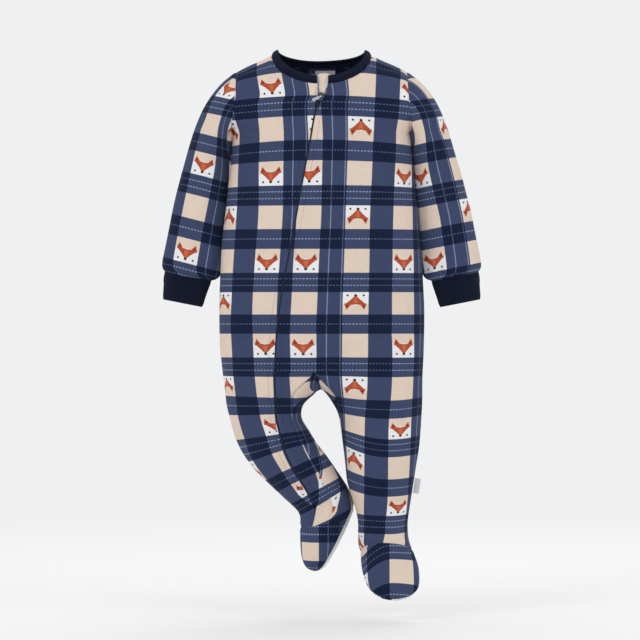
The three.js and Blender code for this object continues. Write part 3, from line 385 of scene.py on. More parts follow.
# The left leg's rows end with the inseam, the tilt of the ring and the sole.
LEFT_LEG = [
    (133.3, -436, 6, -441, 49, 53, 0, 148, 0, 0),
    (132.8, -453, 15.5, -455, 46, 50, -1, 159, 0, 0),
    (131.8, -470, 22.5, -471, 44, 47, -2, 170, 0, 0),
    (130.8, -490, 25.7, -490, 43, 45, -3, 177, 0, 0),
    (128.8, -512, 28.4, -512, 42, 43, -4, 180, 0, 0),
    (125.3, -534, 31.2, -534, 40, 41, -4, 180, 0, 0),
    (122.2, -556, 34.2, -556, 38, 39, -4, 180, 0, 0),
    (119, -577, 40, -577, 36, 37, -3, 180, 0, 0),
    (115.8, -596, 46, -596, 35, 35, -2, 180, 2, 0),
    (114, -611, 49, -611, 36.5, 37, -1, 180, 6, 0),
    (114.4, -625, 49, -625, 39, 39.5, -1, 180, 11, 0),
    (116.4, -637, 49.4, -637, 41, 41, -2, 180, 16, 38),
    (120, -647.5, 51.8, -647.5, 39, 39.5, -8, 180, 20, 52),
    (123.6, -657.5, 52.4, -657.5, 35, 34.5, -18, 180, 24, 58),
    (126.8, -667.5, 53, -667.5, 30, 29, -29.5, 180, 29, 62),
    (128.3, -677.5, 55, -677.5, 24.5, 23.5, -41.5, 180, 34, 64),
    (127.6, -687.5, 59, -687.5, 19, 18.5, -52.5, 180, 38, 68),
    (123.2, -696.5, 65.5, -696.5, 13.5, 12.5, -61.5, 180, 40, 74),
    (113, -703, 76, -703, 7.5, 6.5, -67.5, 180, 42, 82),
]
LEFT_TOE = (94, -69.5, -706.5)
WRAP, LEG_BACKS, SOLE_FROM, SOLE_TO = 4, 12, 3, 9


def ring_point(ring, degrees, exponent):
    """Points round one ring: outer x z, inner x z, depths, y and tilt."""
    out_x, out_z, in_x, in_z, front, back, y, tilt = ring
    turn = np.radians(degrees)

    def bend(value):
        return np.sign(value) * np.abs(value) ** (2 / exponent)

    along, depth = -bend(np.cos(turn)), np.where(np.sin(turn) > 0, front, back) * bend(np.sin(turn))
    lean = np.radians(tilt)
    x = (out_x + in_x) / 2 + (in_x - out_x) / 2 * along
    z = (out_z + in_z) / 2 + (in_z - out_z) / 2 * along + depth * np.sin(lean)
    return np.stack([x, y - depth * np.cos(lean) + 0 * turn, z], -1)


def strands(controls, inner):
    """Smooth grid through rows of control points, which keep one extra row at each end."""
    grid = []
    for k in range(1, len(controls) - 2):
        a, b, c, d = controls[k - 1 : k + 3]
        last = k == len(controls) - 3
        for t in np.linspace(0, 1, inner + 1)[: None if last else -1]:
            grid.append(b + 0.5 * t * (c - a + t * (2 * a - 5 * b + 4 * c - d + t * (3 * (b - c) + d - a))))
    return np.array(grid)


def leg_grids(name):
    """The front and back grids of a leg, from the crotch level down to the toe."""
    right = name == "right"
    table, toe, fronts = (RIGHT_LEG, RIGHT_TOE, 10) if right else (LEFT_LEG, LEFT_TOE, 8)
    c, b = steps(0, fronts), steps(0, LEG_BACKS)
    front_rings, back_rings = [], []
    for entry in table:
        if right:
            side, zip_at, inseam, sole = entry[7:]
            ring = entry[:7] + (0,)
            front_angles = np.interp(c, [0, ZIP_COLUMN, fronts], [side, zip_at, inseam])
            sole_from, sole_to = 180 - 0.55 * sole, 180 + sole
        else:
            side, (inseam, tilt, sole) = 0, entry[7:]
            ring = entry[:7] + (tilt,)
            front_angles = mix(side, inseam, c / fronts)
            sole_from, sole_to = 270 - sole, 270 + sole
        if sole:
            stops = [inseam, sole_from, sole_to, side + 360]
            back_angles = np.interp(b, [0, SOLE_FROM, SOLE_TO, LEG_BACKS], stops)
        else:
            back_angles = mix(inseam, side + 360, b / LEG_BACKS)
        front_rings.append(ring_point(ring, front_angles, RING_POWER))
        back_rings.append(ring_point(ring, back_angles, RING_POWER))

    def front_of(row):
        return body("front", row, c if right else COLUMNS["front"] - c)

    def back_of(row):
        beyond = np.maximum(b - WRAP, 0)
        return body("back", row, BACK_MIDDLE - beyond if right else BACK_MIDDLE + beyond)

    crotch, tail = body("front", LAST, CROTCH_COLUMN), body("back", LAST, BACK_MIDDLE)
    arch = [crotch]
    for w in range(1, WRAP):
        y = mix(crotch[1], tail[1], w / WRAP)
        drop = (SPLIT - ARCH_Z) * math.sqrt(1 - (y / 56.0) ** 2)
        x = mix(crotch[0] if w < 2 else tail[0], 0.4, 1 - abs(2 * w / WRAP - 1))
        arch.append(np.array([x, y, SPLIT - drop]))
    arch.append(tail)
    saddle = strands(np.array([2 * arch[0] - arch[1]] + arch + [2 * arch[-1] - arch[-2]]), STEPS)
    top = back_of(LAST)
    top[: WRAP * STEPS + 1] = saddle
    natural = 2 * top - back_rings[0]
    inside = np.clip(np.minimum(b, WRAP - b), 0, 1)[:, None]
    above_crotch, above_tail = body("front", LAST - 1, CROTCH_COLUMN), body("back", LAST - 1, BACK_MIDDLE)
    ends = np.where((b < WRAP / 2)[:, None], above_crotch, above_tail)
    phantom = np.where((b < WRAP)[:, None], mix(ends, natural, inside), back_of(LAST - 1))
    centre = (front_rings[-1].mean(0) + back_rings[-1].mean(0)) / 2

    def down_leg(first, rings):
        at_toe = np.array(toe, float) + 0 * rings[-1]
        return strands(np.array([*first, *rings, at_toe, 2 * centre - rings[-1]]), STEPS)

    front = down_leg([front_of(LAST - 1), front_of(LAST)], front_rings)
    return front, down_leg([phantom, top], back_rings), c, b


# The next three work on the leg in hand, whose grids are `front` and `back`.
def crotch_droop():
    """How much of the bands' droop into the crotch each point of a leg's back has."""
    ring = np.arange(len(back))[:, None] / STEPS
    return np.exp(-((ring / 0.7) ** 2)) * np.sin(np.pi * np.clip(b / WRAP, 0, 1))


def above_sole(ankle, heel):
    """Marks the cells of a leg's back that aren't the sole's."""
    cells = np.ones((ankle, LEG_BACKS * STEPS), bool)
    cells[heel * STEPS :, SOLE_FROM * STEPS : SOLE_TO * STEPS] = False
    return cells


def foot_grids(ankle, heel):
    """Grids of a foot's top, from the sole over the instep to the sole again, and of its sole."""
    before, after = back[ankle:, SOLE_TO * STEPS : -1], back[ankle:, 1 : SOLE_FROM * STEPS + 1]
    sole = back[heel * STEPS :, SOLE_FROM * STEPS : SOLE_TO * STEPS + 1]
    return np.concatenate([before, front[ankle:], after], 1), sole


def lay_sole(name, sole, flip=False):
    across = lengths(sole, 1)
    lay(name, sole, across - across[:, [15]], lengths(sole, 0), flip=flip)


# Print of the right leg: bands square to the leg, whose pitch shortens over the folds of the knee.
front, back, c, b = leg_grids("right")
HEEL, INSTEP, ZIP_END = 10, 11, 9
ankle, zip_end, zip_at = INSTEP * STEPS, ZIP_END * STEPS, ZIP_COLUMN * STEPS
BAND_RUN = [0, 44.2, 93, 140.7, 182, 230, 400]
BAND_RUN_V = [3.453, 3.888, 4.388, 4.888, 5.388, 5.888, 7.6]
zip_v = np.interp(lengths(front[:, zip_at], 0), BAND_RUN, BAND_RUN_V)
ring_no = np.arange(len(front)) / STEPS
skew = np.interp(ring_no, [0, 4, 6, 8, 12], [0, 0.02, 0.2, 0.3, 0.3])[:, None]


def right_leg_v(points):
    middle = front[:, [zip_at]]
    return zip_v[:, None] + skew * (points[..., 0] - middle[..., 0]) / 96.0


LEG_EDGE_RIGHT_U = [0.705, 0.69, 0.66, 0.637, 0.62, 0.6, 0.5, 0.49]
LEG_EDGE_LEFT_U = [0.343, 0.32, 0.28, 0.27, 0.33, 0.49, 0.5]
edge_right = np.interp(ring_no, [0, 1, 3, 5, 7, 8, 9.3, 12], LEG_EDGE_RIGHT_U)[:, None]
edge_left = np.interp(ring_no, [0, 2, 4, 6, 7.5, 9.3, 12], LEG_EDGE_LEFT_U)[:, None]
run = lengths(front, 1)
run = run - run[:, [zip_at]]
right_u = np.where(run < 0, edge_right + run / ACROSS, edge_left + run / 122.0)
own_left_u = np.where(run <= 0, edge_left, right_u)
v = right_leg_v(front)


def lay_beside_zip(piece, down, side, half=None):
    """Rows of the right leg's front on one side of the zip's line."""
    part = down, slice(0, zip_at + 1) if side > 0 else slice(zip_at, None)
    u = right_u if side > 0 else own_left_u
    return lay(piece, front[part], u[part], v[part], zip_side=side, half=half)


down_zip, below_zip = slice(0, zip_end + 1), slice(zip_end, ankle + 1)
zip_leg_right = lay_beside_zip("front_right", down_zip, 1)
zip_leg_left = lay_beside_zip("front_left", down_zip, -1)
# Below the zip's end the two fronts are sewn together again.
closing = 1.2 * (1 - np.linspace(0, 1, ankle - zip_end + 1)) ** 2
lay_beside_zip("front_right", below_zip, 1, closing)
lay_beside_zip("front_left", below_zip, -1, closing)

# The cloth is drawn aslant beside the inseam, and the print's bands droop into the crotch.
back_run = lengths(back, 1)
side_u = print_back(torso_back[-1, [0]])[0]
drawn = np.interp(ring_no, [0, 2, 4, 6, 8, 10], [0, -0.10, -0.16, -0.18, -0.20, -0.24])
back_u = side_u - (back_run[:, [-1]] - back_run) / ACROSS
back_u = back_u + drawn[:, None] * np.clip((4.4 - b) / 2.4, 0, 1)
back_v = right_leg_v(back) - 0.2 * crotch_droop()
here = slice(0, ankle + 1)
lay("back", back[here], back_u[here], back_v[here], where=above_sole(ankle, HEEL))

# Right foot: its top is cut on its own, and its sole shows as a white edge towards the left leg.
FOOT_Z = [-590, -620.7, -636.2, -660.4, -670, -676]
FOOT_V = [0.15, 0.388, 0.503, 0.776, 0.888, 1.0]
foot, sole = foot_grids(ankle, HEEL)
foot_run = lengths(foot, 1)
part = slice(5 * STEPS, 13 * STEPS)
anchor = np.array([np.interp(-4.5, f[part, 0], r[part]) for f, r in zip(foot, foot_run)])[:, None]
foot_v = curve(FOOT_Z, FOOT_V, foot[..., 2])
lay("foot_top_right", foot, 0.7465 + (foot_run - anchor) / ACROSS, foot_v)
lay_sole("sole_right", sole)

# Print of the left leg: level bands that sag in the middle of the leg, then the foot's own cut.
front, back, c, b = leg_grids("left")
HEEL, INSTEP, LEG_MIDDLE = 12, 13, 88
ankle = INSTEP * STEPS
here = slice(0, ankle + 1)
x, z = front[..., 0], front[..., 2]
lift = curve([-405, -460, -505, -563, -611, -660], [0, 4.4, 13, 11, 1.5, 0], z)
outer_lift = 3.5 * ((x - LEG_MIDDLE) / 38) ** 2 * np.clip((-405 - z) / 50, 0, 1)
rise = np.where(x < LEG_MIDDLE, lift * ((LEG_MIDDLE - x) / 55) ** 2, outer_lift)
run = lengths(front, 1)
stripe_x = curve(STRIPE_Z, STRIPE_X, front[:, 4 * STEPS, 2])
stripe = np.array([np.interp(-at, -f[:, 0], r) for at, f, r in zip(stripe_x, front, run)])[:, None]
blend_down = np.clip(np.arange(len(front))[:, None] / STEPS / 2, 0, 1)
rate = np.where(run > stripe, mix(1 / 142.0, 1 / 126.0, blend_down), 1 / 128.0)
left_u = STRIPE_U - (run - stripe) * rate
top_u = print_front_left(front[:1])[0]
left_u = mix(top_u + (left_u - left_u[:1]), left_u, blend_down)
inseam_left = lay("front_left", front[here], left_u[here], level_v(x, z - rise)[here], flip=True)
back_run = lengths(back, 1)
side_u = print_back(torso_back[-1, [-1]])[0]
back_u = side_u + (back_run[:, [-1]] - back_run) / ACROSS
back_v = level_v(back[..., 0], back[..., 2]) - 0.26 * crotch_droop()
lay("back", back[here], back_u[here], back_v[here], flip=True, where=above_sole(ankle, HEEL))

TOE_Z = [-600, -642.8, -655.2, -685.5, -699.6, -706.5]
TOE_V = [0.02, 0.388, 0.503, 0.776, 0.888, 0.97]
foot, sole = foot_grids(ankle, HEEL)
foot_run = lengths(foot, 1)
part = slice(3 * STEPS, 11 * STEPS)
anchor = np.array([np.interp(-87.5, -f[part, 0], r[part]) for f, r in zip(foot, foot_run)])[:, None]
fall = np.where(foot[..., 0] < 92, 13.0, 2.5) * ((foot[..., 0] - 92) / 28) ** 2
foot_v = curve(TOE_Z, TOE_V, foot[..., 2] + np.clip(fall, 0, 26))
lay("foot_top_left", foot, 0.493 - (foot_run - anchor) / ACROSS, foot_v, flip=True)
lay_sole("sole_left", sole, flip=True)

# ---------------------------------------------------------------------------------------------
# Form of the sleeves and cuffs: each sleeve is one piece of fleece set into the armhole, with a
# seam under the arm, and its hem is gathered into a short tube of rib.
SLEEVE_AT = [0, 2, 4, 6, 9, 13, 17, 18, 19, 20, 21, 22]
SLEEVE = {
    "over_x": [112.5, 134, 152.5, 165, 179.4, 196.4, 209.3, 210.6, 208, 208.6, 209.2, 209.7],
    "over_z": [-16, -33, -58, -86, -131, -195.5, -259, -271, -280, -292, -304, -316],
    "under_x": [117.5, 120.1, 121.1, 122.2, 124.2, 129.4, 134.6, 138.4, 144.5, 149, 153, 156.5],
    "under_z": [-97, -107, -119, -131, -157, -216, -277, -288.5, -293, -304.5, -315.5, -326.5],
    "depth": [45, 44, 41.5, 38, 34, 29, 24, 21.5, 16.5, 15, 14.4, 14],
    "y": [1, 3, 6, 8, 9, 9, 8, 8, 8, 8, 8, 8],
}
CUFF_FROM, CUFF_END, CUFF_RIBS = 19, 22, 104
ARM_PRINT = {"right": (-152.2, -138.6, 14.5, 116.0, 104.0), "left": (132.1, -153.1, 11.5, 112.0, 112.0)}
ARM_EDGE_U = {"right": [0.30, 0.26, 0.265, 0.28, 0.305], "left": [1.26, 1.25, 1.237, 1.205, 1.2]}

for name, hand in (("right", -1), ("left", 1)):
    m, r = steps(-YOKE, YOKE), steps(0, CUFF_END)
    holes = [body(side, np.abs(m), 0 if hand < 0 else COLUMNS[side]) for side in ("front", "back")]
    armhole = np.where((m >= 0)[:, None], *holes)

    def arm_ring(at):
        value = {key: float(curve(SLEEVE_AT, SLEEVE[key], at)) for key in SLEEVE}
        over, under = (hand * value["over_x"], value["over_z"]), (hand * value["under_x"], value["under_z"])
        return ring_point((*over, *under, value["depth"], value["depth"], value["y"], 0), 20.0 * m, 2.1)

    missed = armhole - arm_ring(0.0)
    arm = np.array([arm_ring(at) + missed * max(0.0, 1 - at) ** 2 * (1 + 2 * min(at, 1.0)) for at in r])
    run = lengths(arm, 1)
    run = run - run[:, [YOKE * STEPS]]
    x0, z0, slope, below, above = ARM_PRINT[name]
    slope = math.radians(slope)
    reach = (arm[..., 0] - x0) * hand * math.sin(slope) - (arm[..., 2] - z0) * math.cos(slope)
    arm_v = 0.136 + np.where(reach > 0, reach / below, reach / above)
    arm_u = np.interp(r, [0, 5, 9, 13, 17], ARM_EDGE_U[name])[:, None] - hand * run / ACROSS
    hem = CUFF_FROM * STEPS
    lay("sleeve_" + name, arm[: hem + 1], arm_u[: hem + 1], arm_v[: hem + 1], flip=hand > 0)
    rib_run = lengths(arm[hem:], 1)
    rib_u = (rib_run / rib_run[:, [-1]]) * CUFF_RIBS
    lay("cuff_" + name, arm[hem:], rib_u, lengths(arm[hem:], 0), flip=hand > 0)

# ---------------------------------------------------------------------------------------------
# Form of the neckband: a folded strip of rib that stands on the neckline and leans in, with its
# two ends at the zip.
BAND_HALF, BAND_TOP, RIB_PITCH = 57.5, 13.9, 1.75
BAND_DROP, BAND_LEAN = {"front": 37.0, "back": 12.6}, {"front": 0.9, "back": 0.83}


def band(side, columns):
    t = np.linspace(1, 0, 2 * STEPS + 1)[:, None, None]
    turn = neck_angle(side, columns)
    foot = body(side, 0.0, columns)
    edge_z = BAND_TOP - BAND_DROP[side] * np.sin(turn)
    edge = np.stack([-BAND_HALF * np.cos(turn), BAND_LEAN[side] * foot[:, 1], edge_z], -1)
    out = foot * np.array([1.0, 1.0, 0.0])
    out = out / np.linalg.norm(out, axis=1, keepdims=True)
    return mix(foot, edge, t) + 1.2 * np.sin(np.pi * t) * out


for side, columns, zip_side in (
    ("front", steps(SHOULDER, ZIP_COLUMN), 1),
    ("front", steps(ZIP_COLUMN, COLUMNS["front"] - SHOULDER), -1),
    ("back", steps(SHOULDER, COLUMNS["back"] - SHOULDER), 0),
):
    grid = band(side, columns)
    run = np.repeat(lengths(grid, 1)[[-1]], len(grid), 0) / RIB_PITCH
    height = np.repeat(lengths(grid, 0)[:, [5]], grid.shape[1], 1)
    lay("neckband", grid, run, height, zip_side=zip_side, flip=zip_side == 0)

# ---------------------------------------------------------------------------------------------
# Sewing: the grids are joined where they meet, and the cloth is given its soft folds. A trough or
# ridge is a line in the front view: side, x z to x z, width and depth. Those of the back are of
# the same kinds, at the arms, crotch and knees.
FOLDS = [
    ("front", -205, -60, -122, -84, 13, 4), ("front", 190, -88, 122, -96, 12, 3.5),
    ("front", -34, -517, 10, -529, 12, 4.5), ("front", -14, -488, -58, -506, 13, 3),
    ("back", -110, -500, -30, -482, 15, 4), ("back", 50, -596, 114, -590, 13, 4),
    ("back", 34, -420, 118, -398, 16, 4), ("back", -32, -420, -116, -400, 16, 4),
    ("back", 196, -122, 124, -108, 13, 4), ("back", -196, -118, -124, -106, 13, 4),
    ("front", -110, -62, -84, -118, 9, 1.3), ("front", 108, -58, 82, -122, 9, 1.4),
    ("front", -100, -90, -70, -170, 12, -1.0), ("front", 100, -92, 66, -176, 12, -1.0),
    ("front", 20, -70, 60, -110, 14, 1.1), ("front", -24, -64, -70, -104, 13, 1.0),
    ("front", 40, -372, 118, -356, 12, 1.5), ("front", -90, -384, -30, -402, 9, 1.3),
    ("front", 4, -392, 62, -376, 9, 1.6), ("front", 24, -420, 84, -404, 10, 1.4),
    ("front", 46, -566, 112, -556, 9, 1.4), ("front", 52, -604, 110, -612, 7, 1.9),
    ("front", 58, -622, 106, -628, 6, 1.4), ("front", -76, -530, -36, -548, 8, 1.8),
    ("front", -50, -556, -8, -570, 7, 1.6), ("front", -20, -592, 24, -586, 6, 1.7),
    ("front", -150, -140, -172, -200, 10, 1.4), ("front", 160, -150, 190, -230, 11, 1.4),
    ("front", -138, -204, -170, -236, 9, 1.2), ("front", 134, -196, 172, -222, 9, 1.3),
    ("front", -60, -210, -96, -330, 18, -0.9), ("front", 30, -190, 54, -320, 20, -0.9),
    ("front", 96, -230, 86, -350, 16, 1.0), ("front", -104, -240, -112, -340, 14, 1.0),
    ("back", -70, -60, -30, -120, 15, 1.4), ("back", 70, -60, 30, -120, 15, 1.4),
    ("back", -60, -200, -84, -330, 20, -1.2), ("back", 50, -210, 80, -330, 20, 1.3),
    ("back", 0, -120, -6, -260, 22, -1.0), ("back", -20, -396, -90, -372, 10, 1.8),
    ("back", 22, -398, 92, -370, 10, 1.8), ("back", -96, -540, -40, -520, 9, 2.0),
    ("back", -66, -566, -8, -550, 8, 1.8), ("back", 54, -572, 112, -562, 9, 1.7),
    ("back", -160, -150, -186, -220, 11, 1.5), ("back", 160, -150, 188, -220, 11, 1.5),
    ("back", 30, -480, 110, -462, 12, 1.5), ("back", -104, -460, -40, -452, 12, 1.5),
]


def cell_corners(values, axis=-1):
    """The four corners of each cell of a grid, in the order of a face."""
    return np.stack([values[:-1, :-1], values[1:, :-1], values[1:, 1:], values[:-1, 1:]], axis)


corners, prints, owners = [], [], []
grid_start, total = [], 0
for piece, grid, flip, where in cloth:
    height, width = grid.shape[:2]
    number = total + np.arange(height * width).reshape(height, width)
    quad, uv = cell_corners(number), cell_corners(grid[..., 3:], -2)
    if flip:
        quad, uv = quad[..., ::-1], uv[..., ::-1, :]
    keep = np.ones(quad.shape[:2], bool) if where is None else where
    corners.append(quad[keep])
    prints.append(uv[keep])
    owners += [piece] * int(keep.sum())
    grid_start.append(total)
    total += height * width
every = np.concatenate([grid[..., :3].reshape(-1, 3) for _, grid, _, _ in cloth])
cells = np.round(every * 200).astype(np.int64)
_, first, joined = np.unique(cells, axis=0, return_index=True, return_inverse=True)
joined = joined.reshape(-1)
points = every[first]
quads = joined[np.concatenate(corners)]
prints = np.concatenate(prints)
owners = np.array(owners)


def point_normals(points):
    a, b, c, d = (points[quads[:, k]] for k in range(4))
    across = np.cross(c - a, d - b)
    total = np.zeros_like(points)
    for k in range(4):
        np.add.at(total, quads[:, k], across)
    return total / np.maximum(np.linalg.norm(total, axis=1, keepdims=True), 1e-9)


flat = point_normals(points)
push = np.zeros(len(points))
for side, x0, z0, x1, z1, width, depth in FOLDS:
    facing = np.clip(-flat[:, 1] if side == "front" else flat[:, 1], 0, 1)
    along = np.array([x1 - x0, z1 - z0], float)
    here = points[:, [0, 2]] - (x0, z0)
    t = np.clip(here @ along / (along @ along), 0, 1)
    away = np.linalg.norm(here - t[:, None] * along, axis=1) / width
    push -= depth * np.exp(-(away**2)) * (0.4 + 0.6 * np.sin(np.pi * t)) * facing
# Slow unevenness of cloth that hangs free, and puckers where the sleeves are gathered at the cuffs.
px, py, pz = points.T
push += 0.75 * np.sin(px / 23 + 1.1 * np.sin(pz / 41)) * np.sin(pz / 57 + 0.8 * np.sin(px / 31) + py / 60)
push += 0.35 * np.sin(px / 11 - pz / 29 + 1.3) * np.sin(pz / 17 + py / 23)
for hand in (-1, 1):
    hem_x = 0.5 * hand * (208 + 144.5)
    from_hem = (pz + 286.5) * 0.97 + (px - hem_x) * hand * 0.2
    around = np.arctan2(py - 8, px - hem_x)
    gather = np.exp(-((from_hem / 13) ** 2)) * (from_hem > -1.0) * (px * hand > 134)
    push += gather * (0.9 * np.sin(9 * around + 0.7 * np.sin(2 * around)) + 0.4 * np.sin(17 * around))
points = points + flat * push[:, None]
normals = point_normals(points)


def search_tree(places):
    tree = KDTree(len(places))
    for i, place in enumerate(places):
        tree.insert(Vector(place), i)
    tree.balance()
    return tree


# The sleeves lie against the sides of the body, so their inner sides are pressed flat there.
is_sleeve, is_body = np.zeros(len(points), bool), np.zeros(len(points), bool)
is_sleeve[quads[np.char.startswith(owners, "sleeve")]] = True
is_body[quads[np.isin(owners, ["front_right", "front_left", "back"])]] = True
side_points = np.flatnonzero(is_body & (np.abs(points[:, 0]) > 95) & (points[:, 2] > -330))
tree = search_tree(points[side_points])
pressed = points.copy()
for k in np.flatnonzero(is_sleeve & ~is_body & (points[:, 2] < -95) & (points[:, 2] > -292)):
    _, nearest, distance = tree.find(Vector(points[k]))
    near = side_points[nearest]
    gap = float((points[k] - points[near]) @ normals[near])
    if gap < 7.0 and distance < 9.0 and normals[k] @ normals[near] < -0.2:
        closing = min(max((6.5 - gap) / 4.0, 0.0), 1.0)
        pressed[k] -= normals[near] * (gap + 0.25) * closing
points = pressed
normals = point_normals(points)

# ---------------------------------------------------------------------------------------------
# The seven fleece pieces: two fronts, the back with the backs of both legs, two sleeves and the
# tops of both feet. Polyester fleece, brushed on both sides and printed with the plaid, whose cream
# squares hold a small fox face in turn, upright and upside down. Each is sewn to its neighbours.
MM = 0.001
CREAM, BLUE, NAVY_PRINT = (0.745, 0.61, 0.505), (0.047, 0.065, 0.135), (0.0075, 0.0135, 0.041)
THREAD_ON_BLUE, THREAD_ON_NAVY = (0.33, 0.375, 0.50), (0.085, 0.12, 0.22)
FOX, FOX_LIGHT, FOX_DEEP = (0.44, 0.080, 0.034), (0.56, 0.15, 0.07), (0.20, 0.035, 0.022)
FOX_WHITE, FOX_DARK = (0.82, 0.82, 0.82), (0.02, 0.022, 0.035)


def maths(operation, tree, *values):
    node = tree.nodes.new("ShaderNodeMath")
    node.operation = operation
    for socket, value in zip(node.inputs, values):
        if isinstance(value, (int, float)):
            socket.default_value = value
        else:
            tree.links.new(value, socket)
    return node.outputs[0]


times, plus, minus = (partial(maths, kind) for kind in ("MULTIPLY", "ADD", "SUBTRACT"))
least, most, is_below = (partial(maths, kind) for kind in ("MINIMUM", "MAXIMUM", "LESS_THAN"))
fract, size_of, sine, times_plus = (partial(maths, kind) for kind in ("FRACT", "ABSOLUTE", "SINE", "MULTIPLY_ADD"))


def soft_step(tree, value, low, high):
    node = tree.nodes.new("ShaderNodeMapRange")
    node.interpolation_type = "SMOOTHSTEP"
    node.inputs["From Min"].default_value = low
    node.inputs["From Max"].default_value = high
    tree.links.new(value, node.inputs["Value"])
    return node.outputs["Result"]


def painted(tree, share, under, over):
    node = tree.nodes.new("ShaderNodeMix")
    node.data_type = "RGBA"
    for socket, value in zip((node.inputs[0], node.inputs[6], node.inputs[7]), (share, under, over)):
        if isinstance(value, tuple):
            socket.default_value = (*value, 1.0)
        elif isinstance(value, (int, float)):
            socket.default_value = value
        else:
            tree.links.new(value, socket)
    return node.outputs[2]


def noise(tree, scale, detail=2.0, roughness=0.6):
    node = tree.nodes.new("ShaderNodeTexNoise")
    node.inputs["Scale"].default_value = scale
    node.inputs["Detail"].default_value = detail
    node.inputs["Roughness"].default_value = roughness
    coordinates = tree.nodes.new("ShaderNodeTexCoord")
    tree.links.new(coordinates.outputs["Object"], node.inputs["Vector"])
    return node.outputs["Fac"]


def bumped(tree, height, depth, before=None):
    node = tree.nodes.new("ShaderNodeBump")
    node.inputs["Strength"].default_value = 1.0
    node.inputs["Distance"].default_value = depth
    tree.links.new(height, node.inputs["Height"])
    if before is not None:
        tree.links.new(before, node.inputs["Normal"])
    return node.outputs["Normal"]


def new_material(name, roughness=0.5):
    material = bpy.data.materials.new(name)
    material.use_nodes = True
    shader = material.node_tree.nodes["Principled BSDF"]
    shader.inputs["Roughness"].default_value = roughness
    return material, material.node_tree, shader


def cloth_material(name, roughness, sheen):
    material, tree, shader = new_material(name, roughness)
    shader.inputs["Specular IOR Level"].default_value = 0.06
    shader.inputs["Sheen Weight"].default_value = sheen
    shader.inputs["Sheen Roughness"].default_value = 0.6
    return material, tree, shader


def shaded(tree, shader, colour, shade):
    """Gives a shader a colour that a shade lightens and darkens."""
    scale = tree.nodes.new("ShaderNodeVectorMath")
    scale.operation = "SCALE"
    tree.links.new(colour, scale.inputs[0])
    tree.links.new(shade, scale.inputs["Scale"])
    tree.links.new(scale.outputs["Vector"], shader.inputs["Base Color"])


def print_coordinates(tree):
    uv = tree.nodes.new("ShaderNodeUVMap")
    uv.uv_map = "print"
    split = tree.nodes.new("ShaderNodeSeparateXYZ")
    tree.links.new(uv.outputs["UV"], split.inputs["Vector"])
    return split.outputs["X"], split.outputs["Y"]


